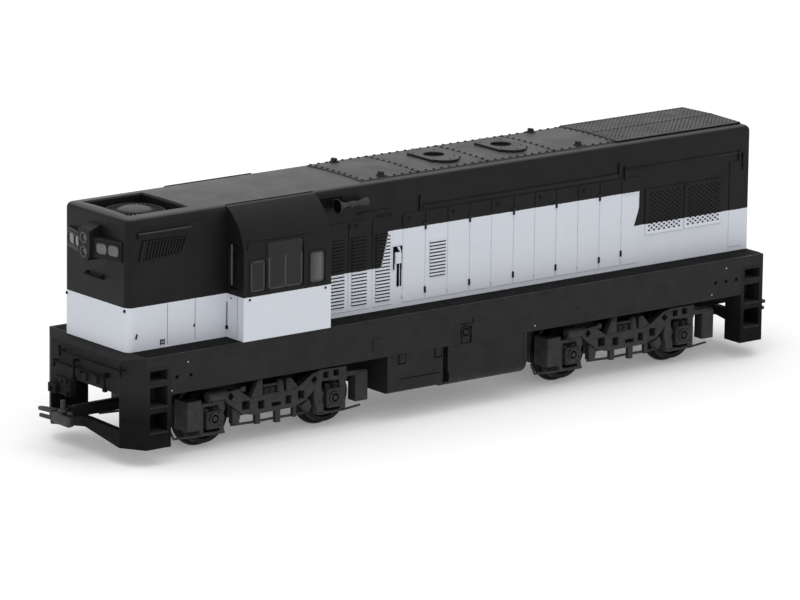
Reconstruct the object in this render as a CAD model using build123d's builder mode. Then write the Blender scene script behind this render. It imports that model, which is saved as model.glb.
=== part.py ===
from build123d import *
from math import asin, cos, sin
import os

# Model diesel locomotive for 16.5 mm gauge track, in millimetres.
# +Y runs to the rear, +X to its right-hand side as seen from the front, +Z up.
# The origin is on the floor under the middle of the locomotive, and the flanges stand on z = 0.

os.makedirs("parts", exist_ok=True)

# --- driving sizes -----------------------------------------------------------------------------

# wheels and axles
back_to_back = 14.5          # between the two wheels of an axle
wheel_width = 2.8
wheel_radius = 5.7           # at the tread
flange_depth = 0.9
flange_width = 0.75
axle_radius = 1.2
axle_clearance = 0.06        # in the gear block's bores

# bogies
wheelbase = 30.0
bogie_centres = 92.0
block_half_width = 6.6       # gear block between the wheels
block_length = 41.0
block_bottom = 4.2
block_top = 13.2
frame_inside = 11.0          # inner face of a side frame, from the centre line
frame_thickness = 2.0
post_radius = 4.0            # swivel post
post_clearance = 0.12
bolster_gap = 0.3            # between the bogie's shoulder and the bolster

# body
sill_half_width = 16.6
sill_bottom = 14.1
sill_thickness = 1.6
deck_top = 22.2
deck_thickness = 2.0
bolster_depth = 4.0
side_half_length = 80.0      # where the straight sides end
pilot_overhang = 3.0         # from the straight sides' end to a pilot's face
pilot_face_half_width = 11.8
pilot_bottom = 3.6
pilot_top = 21.3
step_well_length = 6.0
well_half_width = 11.6       # the pilot's opening, between its step wells

hood_half_width = 10.9
hood_half_length = 80.5
roof_z = 48.9                # along the hoods' upper edges
roof_camber = 0.35           # the roof's middle stands this much higher
wall = 1.2
cab_front = -56.4
cab_rear = -34.7
cab_eaves = 38.9             # where the cab's side starts to curve in
cab_roof_seam = 10.4         # half width of the flat roof on the cab

# couplers
coupler_pin_offset = 25.0    # from the bogie centre
coupler_bottom = 8.1         # of the shank
pin_radius = 0.8
pin_clearance = 0.1

# --- sizes that follow -------------------------------------------------------------------------

flange_radius = wheel_radius + flange_depth
pilot_half_length = side_half_length + pilot_overhang
axle_z = flange_radius
bolster_bottom = deck_top - deck_thickness - bolster_depth
deck_bottom = deck_top - deck_thickness
frame_outside = frame_inside + frame_thickness
well_inner_y = side_half_length - step_well_length

ends = (("front", -1), ("rear", 1))
sides = (-1, 1)


def save(builder, name):
    """Label a finished piece and write its file."""
    builder.part.label = name
    export_step(builder.part, "parts/" + name + ".step")


def box(x0, x1, y0, y1, z0, z1, mode=Mode.ADD):
    """A box between two corners, added to or cut from the part that is open."""
    middle = ((x0 + x1) / 2, (y0 + y1) / 2, (z0 + z1) / 2)
    with Locations(middle):
        Box(abs(x1 - x0), abs(y1 - y0), abs(z1 - z0), mode=mode)


# --- deck, side sills and the bolsters that carry the body ---------------------------------------

bolster_half_length = 7.0

with BuildPart() as deck:
    box(-sill_half_width, sill_half_width, -side_half_length, side_half_length, deck_bottom, deck_top)
save(deck, "deck")

with BuildPart() as side_sills:
    for side in sides:
        inner = side * (sill_half_width - sill_thickness)
        box(inner, side * sill_half_width, -well_inner_y, well_inner_y, sill_bottom, deck_bottom)
save(side_sills, "side_sills")

with BuildPart() as bolsters:
    for end, sign in ends:
        centre_y = sign * bogie_centres / 2
        reach = sill_half_width - sill_thickness
        box(-reach, reach, centre_y - bolster_half_length, centre_y + bolster_half_length,
            bolster_bottom, deck_bottom)
        with Locations((0, centre_y, bolster_bottom)):
            Cylinder(post_radius + post_clearance, bolster_depth,
                     align=(Align.CENTER, Align.CENTER, Align.MIN), mode=Mode.SUBTRACT)
save(bolsters, "bolsters")

# --- pilots with their step wells --------------------------------------------------------------

plate_thickness = 1.4
opening_top = 14.4
# lower and upper edge of the bent brace, at the step wells and on the centre line
brace_foot = (pilot_bottom, 7.1)
brace_crown = (5.5, 7.5)
# lower and upper edge of each foothold in a step well
footholds = ((6.8, 10.8), (12.0, 16.1), (17.2, 19.4))
foothold_end_wall = 0.9
foothold_depth = 3.9
# the plate beside the coupler: edges from the centre line, and its lower edge over the coupler
hose_plate = (5.0, 11.8)
hose_plate_bottom = 10.4

for end, sign in ends:
    with BuildPart() as pilot:
        with BuildSketch(Plane.XY.offset(pilot_bottom)):
            with BuildLine():
                Polyline(
                    (-sill_half_width, sign * well_inner_y),
                    (-sill_half_width, sign * side_half_length),
                    (-pilot_face_half_width, sign * pilot_half_length),
                    (pilot_face_half_width, sign * pilot_half_length),
                    (sill_half_width, sign * side_half_length),
                    (sill_half_width, sign * well_inner_y),
                    close=True,
                )
            make_face()
        extrude(amount=deck_bottom - pilot_bottom)
        plate_inside = sign * (pilot_half_length - plate_thickness)
        box(-well_half_width, well_half_width, sign * (well_inner_y - 1), plate_inside,
            pilot_bottom, deck_bottom, mode=Mode.SUBTRACT)
        # the strip in front of the deck, which slopes down to the face
        with BuildSketch(Plane.XY.offset(deck_bottom)):
            with BuildLine():
                Polyline(
                    (-sill_half_width, sign * side_half_length),
                    (-pilot_face_half_width, sign * pilot_half_length),
                    (pilot_face_half_width, sign * pilot_half_length),
                    (sill_half_width, sign * side_half_length),
                    close=True,
                )
            make_face()
        extrude(amount=deck_top - deck_bottom)
        with BuildSketch(Plane.YZ):
            with BuildLine():
                Polyline(
                    (sign * side_half_length, deck_top), (sign * pilot_half_length, pilot_top),
                    (sign * pilot_half_length, deck_top), close=True,
                )
            make_face()
        extrude(amount=sill_half_width, both=True, mode=Mode.SUBTRACT)
        # coupler opening over the brace, and the gap under it
        face_plane = Plane(origin=(0, sign * pilot_half_length, 0), x_dir=(1, 0, 0), z_dir=(0, -1, 0))
        with BuildSketch(face_plane):
            with BuildLine():
                Polyline(
                    (-well_half_width, brace_foot[1]), (0, brace_crown[1]), (well_half_width, brace_foot[1]),
                    (well_half_width, opening_top), (-well_half_width, opening_top), close=True,
                )
            make_face()
            with BuildLine():
                Polyline(
                    (-well_half_width, pilot_bottom - 1), (-well_half_width, brace_foot[0]),
                    (0, brace_crown[0]), (well_half_width, brace_foot[0]),
                    (well_half_width, pilot_bottom - 1), close=True,
                )
            make_face()
        extrude(amount=plate_thickness * 2, both=True, mode=Mode.SUBTRACT)
        box(sign * hose_plate[0], sign * hose_plate[1], plate_inside, sign * pilot_half_length,
            hose_plate_bottom, opening_top)
        for side in sides:
            for low, high in footholds:
                box(side * (sill_half_width - foothold_depth), side * (sill_half_width + 1),
                    sign * (well_inner_y + foothold_end_wall), sign * (side_half_length - foothold_end_wall),
                    low, high, mode=Mode.SUBTRACT)
    save(pilot, "pilot_" + end)

# --- short hood --------------------------------------------------------------------------------

recess_half_width = 7.9
recess_front = -78.3
recess_rear = -63.7
recess_floor = 45.6
corner_radius = 1.5
roof_edge_radius = 1.2

with BuildPart() as short_hood:
    with BuildSketch(Plane(origin=(0, cab_front, 0), x_dir=(1, 0, 0), z_dir=(0, -1, 0))):
        with BuildLine():
            Polyline((-hood_half_width, roof_z), (-hood_half_width, deck_top),
                     (hood_half_width, deck_top), (hood_half_width, roof_z))
            ThreePointArc((hood_half_width, roof_z), (0, roof_z + roof_camber), (-hood_half_width, roof_z))
        make_face()
    extrude(amount=cab_front + hood_half_length)
    end_corners = short_hood.edges().filter_by(Axis.Z).group_by(Axis.Y)[0]
    fillet(end_corners, corner_radius)
    roof_rim = short_hood.faces().sort_by(Axis.Z)[-1].edges()
    fillet(roof_rim.sort_by(Axis.Y)[:-1], roof_edge_radius)
    box(-recess_half_width, recess_half_width, recess_front, recess_rear, recess_floor, roof_z + 1,
        mode=Mode.SUBTRACT)
save(short_hood, "short_hood")

# --- roof fan in the recess --------------------------------------------------------------------

fan_y = -71.0
fan_radius = 6.2
fan_rim_height = 1.0
fan_dome_height = 2.3

dome_rise = fan_dome_height - fan_rim_height
dome_radius = (fan_radius ** 2 + dome_rise ** 2) / (2 * dome_rise)
dome_middle = fan_dome_height - dome_radius + (dome_radius ** 2 - (fan_radius / 2) ** 2) ** 0.5

with BuildPart() as roof_fan:
    with BuildSketch(Plane(origin=(0, fan_y, recess_floor), x_dir=(1, 0, 0), z_dir=(0, -1, 0))):
        with BuildLine():
            Line((0, 0), (fan_radius, 0))
            Line((fan_radius, 0), (fan_radius, fan_rim_height))
            ThreePointArc((fan_radius, fan_rim_height), (fan_radius / 2, dome_middle), (0, fan_dome_height))
            Line((0, fan_dome_height), (0, 0))
        make_face()
    revolve(axis=Axis((0, fan_y, 0), (0, 0, 1)))
save(roof_fan, "roof_fan")

# --- cab ---------------------------------------------------------------------------------------

# near edge and far edge along Y, lower and upper edge, one row for each side window
side_windows = ((-54.7, -51.0, 32.0, 38.3), (-50.4, -41.6, 32.0, 41.6), (-39.9, -36.3, 32.0, 38.3))
window_radius = 0.9
end_window = (12.0, 14.6, 32.4, 41.6)


with BuildPart() as cab:
    # the outside, and then the inside, a wall thickness further in
    for inset, mode in ((0, Mode.ADD), (wall, Mode.SUBTRACT)):
        half = sill_half_width - inset
        seam = cab_roof_seam - inset * 0.4
        top = roof_z - inset
        # the arc starts upright at the eaves and ends at the roof's seam
        arc_radius = ((half - seam) ** 2 + (top - cab_eaves) ** 2) / (2 * (half - seam))
        half_sweep = asin((top - cab_eaves) / arc_radius) / 2
        shoulder_x = half - arc_radius * (1 - cos(half_sweep))
        shoulder_z = cab_eaves + arc_radius * sin(half_sweep)
        with BuildSketch(Plane(origin=(0, cab_front + inset, 0), x_dir=(1, 0, 0), z_dir=(0, -1, 0))):
            with BuildLine():
                Line((-half, deck_top), (half, deck_top))
                Line((half, deck_top), (half, cab_eaves))
                ThreePointArc((half, cab_eaves), (shoulder_x, shoulder_z), (seam, top))
                ThreePointArc((seam, top), (0, top + roof_camber), (-seam, top))
                ThreePointArc((-seam, top), (-shoulder_x, shoulder_z), (-half, cab_eaves))
                Line((-half, cab_eaves), (-half, deck_top))
            make_face()
        extrude(amount=-(cab_rear - cab_front - 2 * inset), mode=mode)
    with BuildSketch(Plane.YZ):
        for y0, y1, z0, z1 in side_windows:
            with Locations(((y0 + y1) / 2, (z0 + z1) / 2)):
                RectangleRounded(y1 - y0, z1 - z0, window_radius)
    extrude(amount=sill_half_width + 1, both=True, mode=Mode.SUBTRACT)
    x0, x1, z0, z1 = end_window
    for side in sides:
        box(side * x0, side * x1, cab_front - 1, cab_rear + 1, z0, z1, mode=Mode.SUBTRACT)
save(cab, "cab")

# --- cab windows -------------------------------------------------------------------------------

pane_thickness = 0.7
pane_setback = 0.25

with BuildPart() as cab_windows:
    for side in sides:
        outer = side * (sill_half_width - pane_setback)
        with BuildSketch(Plane.YZ.offset(outer)):
            for y0, y1, z0, z1 in side_windows:
                with Locations(((y0 + y1) / 2, (z0 + z1) / 2)):
                    RectangleRounded(y1 - y0, z1 - z0, window_radius)
        extrude(amount=-side * pane_thickness)
        x0, x1, z0, z1 = end_window
        for wall_y, inward in ((cab_front + pane_setback, 1), (cab_rear - pane_setback, -1)):
            box(side * x0, side * x1, wall_y, wall_y + inward * pane_thickness, z0, z1)
save(cab_windows, "cab_windows")

# --- long hood ---------------------------------------------------------------------------------

# front and rear edge of each grille panel
radiator_panels = ((51.0, 61.4), (63.3, 72.7))
radiator_bottom = 29.0
radiator_top = 38.4
radiator_depth = 0.5
rear_corner_radius = 0.5

with BuildPart() as long_hood:
    with BuildSketch(Plane(origin=(0, cab_rear, 0), x_dir=(1, 0, 0), z_dir=(0, -1, 0))):
        with BuildLine():
            Polyline((-hood_half_width, roof_z), (-hood_half_width, deck_top),
                     (hood_half_width, deck_top), (hood_half_width, roof_z))
            ThreePointArc((hood_half_width, roof_z), (0, roof_z + roof_camber), (-hood_half_width, roof_z))
        make_face()
    extrude(amount=cab_rear - hood_half_length)
    end_corners = long_hood.edges().filter_by(Axis.Z).group_by(Axis.Y)[-1]
    fillet(end_corners, rear_corner_radius)
    roof_rim = long_hood.faces().sort_by(Axis.Z)[-1].edges()
    fillet(roof_rim.sort_by(Axis.Y)[1:], roof_edge_radius)
    for side in sides:
        for y0, y1 in radiator_panels:
            box(side * (hood_half_width - radiator_depth), side * (hood_half_width + 1),
                y0, y1, radiator_bottom, radiator_top, mode=Mode.SUBTRACT)
save(long_hood, "long_hood")

# --- radiator grilles in the hood's sides ------------------------------------------------------

grille_thickness = 0.3

with BuildPart() as side_radiators:
    for side in sides:
        seat_x = side * (hood_half_width - radiator_depth)
        for y0, y1 in radiator_panels:
            box(seat_x, seat_x + side * grille_thickness, y0, y1, radiator_bottom, radiator_top)
save(side_radiators, "side_radiators")

# --- roof hatches, exhausts and roof radiators -------------------------------------------------

roof_radius = (hood_half_width ** 2 + roof_camber ** 2) / (2 * roof_camber)


def roof_at(x):
    """Height of the cambered roof, x from the centre line."""
    return roof_z + roof_camber - roof_radius + (roof_radius ** 2 - x ** 2) ** 0.5


# one row for each set of roof plates: name, thickness, and front and rear edge of each plate
hatch_half_width = 9.0
radiator_half_width = 9.3
roof_plates = (
    ("roof_hatches", hatch_half_width, 0.25, ((-21.5, -7.2), (-7.0, 10.9), (11.1, 28.4), (28.6, 44.9))),
    ("roof_radiators", radiator_half_width, 0.35, ((45.1, 79.0),)),
)

for name, half_width, thickness, edges in roof_plates:
    edge_z = roof_at(half_width)
    middle_z = roof_z + roof_camber
    with BuildPart() as plates:
        for y0, y1 in edges:
            with BuildSketch(Plane(origin=(0, y0, 0), x_dir=(1, 0, 0), z_dir=(0, -1, 0))):
                with BuildLine():
                    ThreePointArc((-half_width, edge_z), (0, middle_z), (half_width, edge_z))
                    Line((half_width, edge_z), (half_width, edge_z + thickness))
                    ThreePointArc((half_width, edge_z + thickness), (0, middle_z + thickness),
                                  (-half_width, edge_z + thickness))
                    Line((-half_width, edge_z + thickness), (-half_width, edge_z))
                make_face()
            extrude(amount=y0 - y1)
    save(plates, name)

exhaust_places = (4.1, 21.7)
exhaust_length = 7.2         # of its square flange
exhaust_flange_half_width = 4.3
exhaust_width = 13.0         # over its rounded ends
exhaust_end_radius = 3.2
exhaust_bore = 2.2
exhaust_rise = 0.5           # over the hatches
hatch_thickness = roof_plates[0][2]
hatch_edge_z = roof_at(hatch_half_width) + hatch_thickness
hatch_middle_z = roof_z + roof_camber + hatch_thickness
exhaust_top = hatch_middle_z + exhaust_rise

with BuildPart() as exhausts:
    with BuildSketch(Plane.XY.offset(hatch_edge_z)):
        for y in exhaust_places:
            with Locations((0, y)):
                Rectangle(2 * exhaust_flange_half_width, exhaust_length)
                SlotOverall(exhaust_width, 2 * exhaust_end_radius)
    extrude(amount=exhaust_top - hatch_edge_z)
    # the underside lies on the cambered hatches
    behind = exhaust_places[-1] + exhaust_length
    with BuildSketch(Plane(origin=(0, behind, 0), x_dir=(1, 0, 0), z_dir=(0, -1, 0))):
        with BuildLine():
            ThreePointArc((-hatch_half_width, hatch_edge_z), (0, hatch_middle_z),
                          (hatch_half_width, hatch_edge_z))
            Line((hatch_half_width, hatch_edge_z), (-hatch_half_width, hatch_edge_z))
        make_face()
    extrude(amount=behind - exhaust_places[0] + exhaust_length, mode=Mode.SUBTRACT)
    with BuildSketch(Plane.XY.offset(hatch_edge_z)):
        for y in exhaust_places:
            with Locations((0, y)):
                Circle(exhaust_bore)
    extrude(amount=exhaust_top, mode=Mode.SUBTRACT)
save(exhausts, "exhausts")

# --- vents and rain ledges on the short hood ---------------------------------------------------

vent_front = -76.8
vent_rear = -65.8
vent_bottom = 40.2
vent_top = 44.2
vent_thickness = 0.35
ledge_front = -77.2
ledge_rear = -64.6
ledge_z = 45.9
ledge_reach = 0.9

with BuildPart() as side_vents:
    for side in sides:
        box(side * hood_half_width, side * (hood_half_width + vent_thickness),
            vent_front, vent_rear, vent_bottom, vent_top)
        box(side * hood_half_width, side * (hood_half_width + ledge_reach),
            ledge_front, ledge_rear, ledge_z - 0.25, ledge_z + 0.25)
save(side_vents, "side_vents")

# --- lamps and number boards at both ends ------------------------------------------------------

lamp_housing_half_width = 1.9
lamp_housing_reach = 2.8
lamp_housing_top = 45.4
lamp_hood_rise = 1.2         # from the housing's top up to the hood's face
lamp_heights = (41.1, 43.9)
lamp_radius = 0.95
lamp_depth = 0.6
board_box_inner_reach = 2.0
board_box_outer_reach = 0.3
board_box_outer_x = 9.2
board_box_bottom = 40.2
board_box_top = 44.3
# inner and outer edge from the centre line, lower and upper edge
number_board = (2.7, 8.5, 41.1, 43.3)
board_setback = 0.3
board_thickness = 0.25

for end, sign in ends:
    face_y = sign * hood_half_length
    slope = (board_box_inner_reach - board_box_outer_reach) / (board_box_outer_x - lamp_housing_half_width)

    def board_reach(x):
        """How far the number board's box stands out of the hood, x from the centre line."""
        return board_box_inner_reach - (x - lamp_housing_half_width) * slope

    with BuildPart() as lamp_housing:
        with BuildSketch(Plane.YZ):
            with BuildLine():
                Polyline(
                    (face_y, lamp_heights[0]),
                    (face_y + sign * lamp_housing_reach, lamp_heights[0]),
                    (face_y + sign * lamp_housing_reach, lamp_housing_top),
                    (face_y, lamp_housing_top + lamp_hood_rise),
                    close=True,
                )
            make_face()
        extrude(amount=lamp_housing_half_width, both=True)
        with BuildSketch(Plane(origin=(0, face_y, lamp_heights[0]), z_dir=(0, sign, 0))):
            Circle(lamp_housing_half_width)
        extrude(amount=lamp_housing_reach)
        with BuildSketch(Plane.XY.offset(board_box_bottom)):
            for side in sides:
                with BuildLine():
                    Polyline(
                        (side * (lamp_housing_half_width - 0.1), face_y),
                        (side * (lamp_housing_half_width - 0.1), face_y + sign * board_box_inner_reach),
                        (side * board_box_outer_x, face_y + sign * board_box_outer_reach),
                        (side * board_box_outer_x, face_y),
                        close=True,
                    )
                make_face()
        extrude(amount=board_box_top - board_box_bottom)
        x0, x1, z0, z1 = number_board
        with BuildSketch(Plane.XY.offset(z0)):
            for side in sides:
                with BuildLine():
                    Polyline(
                        (side * x0, face_y + sign * (board_reach(x0) - board_setback)),
                        (side * x0, face_y + sign * (board_reach(x0) + 1)),
                        (side * x1, face_y + sign * (board_reach(x1) + 1)),
                        (side * x1, face_y + sign * (board_reach(x1) - board_setback)),
                        close=True,
                    )
                make_face()
        extrude(amount=z1 - z0, mode=Mode.SUBTRACT)
        for z in lamp_heights:
            lamp_plane = Plane(origin=(0, face_y + sign * lamp_housing_reach, z), z_dir=(0, sign, 0))
            with BuildSketch(lamp_plane):
                Circle(lamp_radius)
            extrude(amount=-lamp_depth, mode=Mode.SUBTRACT)
    save(lamp_housing, "lamp_housing_" + end)

    with BuildPart() as lamp_lenses:
        for z in lamp_heights:
            seat = face_y + sign * (lamp_housing_reach - lamp_depth)
            with BuildSketch(Plane(origin=(0, seat, z), z_dir=(0, sign, 0))):
                Circle(lamp_radius)
            extrude(amount=lamp_depth * 0.6)
    save(lamp_lenses, "lamp_lenses_" + end)

    with BuildPart() as number_boards:
        with BuildSketch(Plane.XY.offset(z0)):
            for side in sides:
                back0 = board_reach(x0) - board_setback
                back1 = board_reach(x1) - board_setback
                with BuildLine():
                    Polyline(
                        (side * x0, face_y + sign * back0),
                        (side * x0, face_y + sign * (back0 + board_thickness)),
                        (side * x1, face_y + sign * (back1 + board_thickness)),
                        (side * x1, face_y + sign * back1),
                        close=True,
                    )
                make_face()
        extrude(amount=z1 - z0)
    save(number_boards, "number_boards_" + end)

# --- horn --------------------------------------------------------------------------------------

horn_reach = 1.6             # from the hood's side to the horn's axis
horn_x = hood_half_width + horn_reach
horn_z = 45.7
horn_y = -30.2               # mouth of the bell that faces forwards
horn_length = 7.4
# length and mouth radius of the forward bell and of the one that faces back
front_bell = (2.6, 1.5)
rear_bell = (2.2, 0.95)
horn_throat_radius = 0.45
horn_bracket_width = 1.0

with BuildPart() as horn:
    bell_end = front_bell[0]
    rear_start = horn_length - rear_bell[0]
    with BuildSketch(Plane(origin=(horn_x, horn_y, horn_z), x_dir=(0, 1, 0), z_dir=(1, 0, 0))):
        with BuildLine():
            Line((0, 0), (0, front_bell[1]))
            ThreePointArc((0, front_bell[1]), (bell_end * 0.35, front_bell[1] * 0.58),
                          (bell_end, horn_throat_radius))
            Line((bell_end, horn_throat_radius), (rear_start, horn_throat_radius))
            Line((rear_start, horn_throat_radius), (horn_length, rear_bell[1]))
            Line((horn_length, rear_bell[1]), (horn_length, 0))
            Line((horn_length, 0), (0, 0))
        make_face()
    revolve(axis=Axis((horn_x, horn_y, horn_z), (0, 1, 0)))
    bracket_y = horn_y + (bell_end + rear_start) / 2
    box(hood_half_width, horn_x, bracket_y - horn_bracket_width / 2, bracket_y + horn_bracket_width / 2,
        horn_z - horn_throat_radius, horn_z + horn_throat_radius / 2)
save(horn, "horn")

# --- equipment box and fuel tank under the middle ----------------------------------------------

belly_half_width = 16.4
belly_hanger_half_width = sill_half_width - sill_thickness
bogie_room = 26.0            # from the front bogie's centre to the equipment box
equipment_front = bogie_room - bogie_centres / 2
equipment_rear = -5.7
equipment_bottom = 6.2
tank_front = -4.9
tank_room = 29.8             # from the tank to the rear bogie's centre
tank_rear = bogie_centres / 2 - tank_room
tank_bottom = 5.3
tank_edge_radius = 3.0

with BuildPart() as equipment_box:
    box(-belly_half_width, belly_half_width, equipment_front, equipment_rear, equipment_bottom, sill_bottom)
    lower_edges = equipment_box.edges().filter_by(Axis.Y).group_by(Axis.Z)[0]
    fillet(lower_edges, 0.6)
    box(-belly_hanger_half_width, belly_hanger_half_width, equipment_front, equipment_rear,
        sill_bottom, deck_bottom)
save(equipment_box, "equipment_box")

with BuildPart() as fuel_tank:
    box(-belly_half_width, belly_half_width, tank_front, tank_rear, tank_bottom, sill_bottom)
    lower_edges = fuel_tank.edges().filter_by(Axis.Y).group_by(Axis.Z)[0]
    fillet(lower_edges, tank_edge_radius)
    box(-belly_hanger_half_width, belly_hanger_half_width, tank_front, tank_rear, sill_bottom, deck_bottom)
save(fuel_tank, "fuel_tank")

# --- bogies ------------------------------------------------------------------------------------

tongue_half_width = 2.6
tongue_bottom = 5.9
tongue_top = 7.9
shoulder_radius = 6.0
post_top = deck_bottom - 0.4
coupler_thickness = 2.0
eye_radius = 2.2
pin_head_radius = 1.4
pin_head_height = 0.5

# outline of a side frame, y from the bogie centre and z from the floor, clockwise from its front top
frame_outline = (
    (-18.4, 12.2), (-9.2, 11.7), (-5.7, 9.9), (-4.2, 12.9), (-2.6, 12.9), (-2.6, 9.9),
    (2.6, 9.9), (2.6, 12.9), (4.2, 12.9), (5.9, 9.9), (11.0, 12.4), (18.4, 12.4),
    (18.4, 3.7), (12.2, 3.7), (12.2, 9.9), (11.2, 9.9), (7.4, 7.0), (5.9, 5.9),
    (-5.9, 5.9), (-8.4, 6.8), (-12.4, 9.9), (-12.4, 3.7), (-18.4, 3.7),
)
# y, z, length and height of each lightening hole in a side frame
frame_holes = (
    (-6.8, 8.05, 1.8, 2.1), (-3.3, 7.65, 1.5, 1.9), (0.6, 7.2, 2.3, 0.9), (3.5, 7.6, 1.5, 1.7),
    (6.9, 8.1, 1.6, 1.7), (13.0, 11.6, 1.0, 1.2), (15.7, 11.7, 1.2, 1.2),
)
# y and z of the square holes that stand on a corner
slanted_holes = ((-10.9, 10.6), (10.1, 10.9))
slanted_hole_size = 1.3
transom_half_length = 4.0
transom_bottom = 6.2
transom_top = 9.9
pocket_half_length = 2.6     # spring pocket in the middle of a side frame
pocket_top = 12.6
axle_box_radius = 1.7
axle_box_height = 0.7
cylinder_radius = 1.0

for end, sign in ends:
    centre_y = sign * bogie_centres / 2
    tip_y = centre_y + sign * block_length / 2

    with BuildPart() as gear_block:
        box(-block_half_width, block_half_width, centre_y - block_length / 2, centre_y + block_length / 2,
            block_bottom, block_top)
        shoulder_height = bolster_bottom - bolster_gap - block_top
        with Locations((0, centre_y, block_top)):
            Cylinder(shoulder_radius, shoulder_height, align=(Align.CENTER, Align.CENTER, Align.MIN))
            Cylinder(post_radius, post_top - block_top, align=(Align.CENTER, Align.CENTER, Align.MIN))
        pin_y = centre_y + sign * coupler_pin_offset
        box(-tongue_half_width, tongue_half_width, tip_y - sign, pin_y, tongue_bottom, tongue_top)
        with Locations((0, pin_y, tongue_bottom)):
            Cylinder(tongue_half_width, tongue_top - tongue_bottom,
                     align=(Align.CENTER, Align.CENTER, Align.MIN))
        pin_top = coupler_bottom + coupler_thickness + 0.2
        with Locations((0, pin_y, tongue_top)):
            Cylinder(pin_radius, pin_top - tongue_top, align=(Align.CENTER, Align.CENTER, Align.MIN))
        with Locations((0, pin_y, pin_top)):
            Cylinder(pin_head_radius, pin_head_height, align=(Align.CENTER, Align.CENTER, Align.MIN))
        for axle in (-1, 1):
            axle_plane = Plane(origin=(0, centre_y + axle * wheelbase / 2, axle_z), z_dir=(1, 0, 0))
            with BuildSketch(axle_plane):
                Circle(axle_radius + axle_clearance)
            extrude(amount=block_half_width + 1, both=True, mode=Mode.SUBTRACT)
    save(gear_block, "gear_block_" + end)

    with BuildPart() as side_frames:
        for side in sides:
            with BuildSketch(Plane.YZ.offset(side * frame_inside)):
                with BuildLine():
                    Polyline([(centre_y + y, z) for y, z in frame_outline], close=True)
                make_face()
                for y, z, length, height in frame_holes:
                    with Locations((centre_y + y, z)):
                        Rectangle(length, height, mode=Mode.SUBTRACT)
                for y, z in slanted_holes:
                    with Locations((centre_y + y, z)):
                        Rectangle(slanted_hole_size, slanted_hole_size, rotation=45, mode=Mode.SUBTRACT)
            extrude(amount=side * frame_thickness)
            box(side * (frame_inside + 0.4), side * (frame_outside - 0.3), centre_y - pocket_half_length,
                centre_y + pocket_half_length, transom_top - 0.1, pocket_top)
            for axle in (-1, 1):
                cap_plane = Plane(origin=(side * frame_outside, centre_y + axle * wheelbase / 2, axle_z),
                                  z_dir=(side, 0, 0))
                with BuildSketch(cap_plane):
                    Circle(axle_box_radius)
                extrude(amount=axle_box_height)
    save(side_frames, "side_frames_" + end)

    with BuildPart() as frame_brackets:
        for side in sides:
            box(side * block_half_width, side * frame_inside, centre_y - transom_half_length,
                centre_y + transom_half_length, transom_bottom, transom_top)
    save(frame_brackets, "frame_brackets_" + end)

# --- end plates and brake gear on the side frames ----------------------------------------------

# front and rear edge from the bogie centre, lower and upper edge
end_plates = ((-21.3, -18.4, 4.2, 10.9), (18.4, 23.8, 9.6, 11.2), (20.9, 23.8, 4.6, 9.6))
brake_cylinder = (-16.9, -12.1)
brake_cylinder_z = 11.2
brake_rod_z = 4.3
brake_rod_radius = 0.35
brake_rod_ends = (-9.5, 5.5)
# front and rear edge from the bogie centre, lower and upper edge
brake_hangers = ((-10.5, -8.6, 4.0, 6.8), (-3.9, -2.4, 3.7, 5.9), (4.0, 5.8, 3.7, 5.9))

for end, sign in ends:
    centre_y = sign * bogie_centres / 2

    with BuildPart() as frame_end_plates:
        for side in sides:
            for y0, y1, z0, z1 in end_plates:
                box(side * (frame_inside + 0.5), side * frame_outside, centre_y + y0, centre_y + y1, z0, z1)
    save(frame_end_plates, "frame_end_plates_" + end)

    with BuildPart() as brake_gear:
        for side in sides:
            cylinder_x = side * (frame_outside + cylinder_radius)
            y0, y1 = brake_cylinder
            cylinder_plane = Plane(origin=(cylinder_x, centre_y + y0, brake_cylinder_z), z_dir=(0, 1, 0))
            with BuildSketch(cylinder_plane):
                Circle(cylinder_radius)
            extrude(amount=y1 - y0)
            rod_x = side * (frame_inside + 0.8)
            for y0, y1, z0, z1 in brake_hangers:
                box(rod_x - 0.6, rod_x + 0.6, centre_y + y0, centre_y + y1, z0, z1)
            y0, y1 = brake_rod_ends
            rod_plane = Plane(origin=(rod_x, centre_y + y0, brake_rod_z), z_dir=(0, 1, 0))
            with BuildSketch(rod_plane):
                Circle(brake_rod_radius)
            extrude(amount=y1 - y0)
    save(brake_gear, "brake_gear_" + end)

# --- wheelsets ---------------------------------------------------------------------------------

wheel_inside = back_to_back / 2
wheel_outside = wheel_inside + wheel_width
hub_radius = 2.0
web_recess = 0.5
rim_radius = wheel_radius - 1.0

for number, (end, sign) in enumerate((("front", -1), ("front", 1), ("rear", -1), ("rear", 1)), start=1):
    centre_y = dict(ends)[end] * bogie_centres / 2 + sign * wheelbase / 2
    with BuildPart() as wheelset:
        with BuildSketch(Plane(origin=(0, centre_y, axle_z), x_dir=(1, 0, 0), z_dir=(0, -1, 0))):
            with BuildLine():
                Polyline(
                    (0, 0), (0, axle_radius), (wheel_inside, axle_radius),
                    (wheel_inside, flange_radius - 0.25), (wheel_inside + 0.25, flange_radius),
                    (wheel_inside + flange_width, flange_radius - 0.25),
                    (wheel_inside + flange_width + 0.2, wheel_radius + 0.05),
                    (wheel_outside, wheel_radius - 0.1),
                    (wheel_outside, rim_radius), (wheel_outside - web_recess, rim_radius - 0.2),
                    (wheel_outside - web_recess, hub_radius), (wheel_outside, hub_radius - 0.2),
                    (wheel_outside, 0), close=True,
                )
            make_face()
        revolve(axis=Axis((0, centre_y, axle_z), (1, 0, 0)))
        mirror(about=Plane.YZ)
    save(wheelset, "wheelset_" + str(number))

# --- couplers ----------------------------------------------------------------------------------

shank_half_width = 1.3
head_bottom = 7.0
head_height = 2.5
hook_pin_along = 17.8        # from the coupler's pivot
hook_pin_radius = 0.55
hook_pin_height = 2.2
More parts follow.
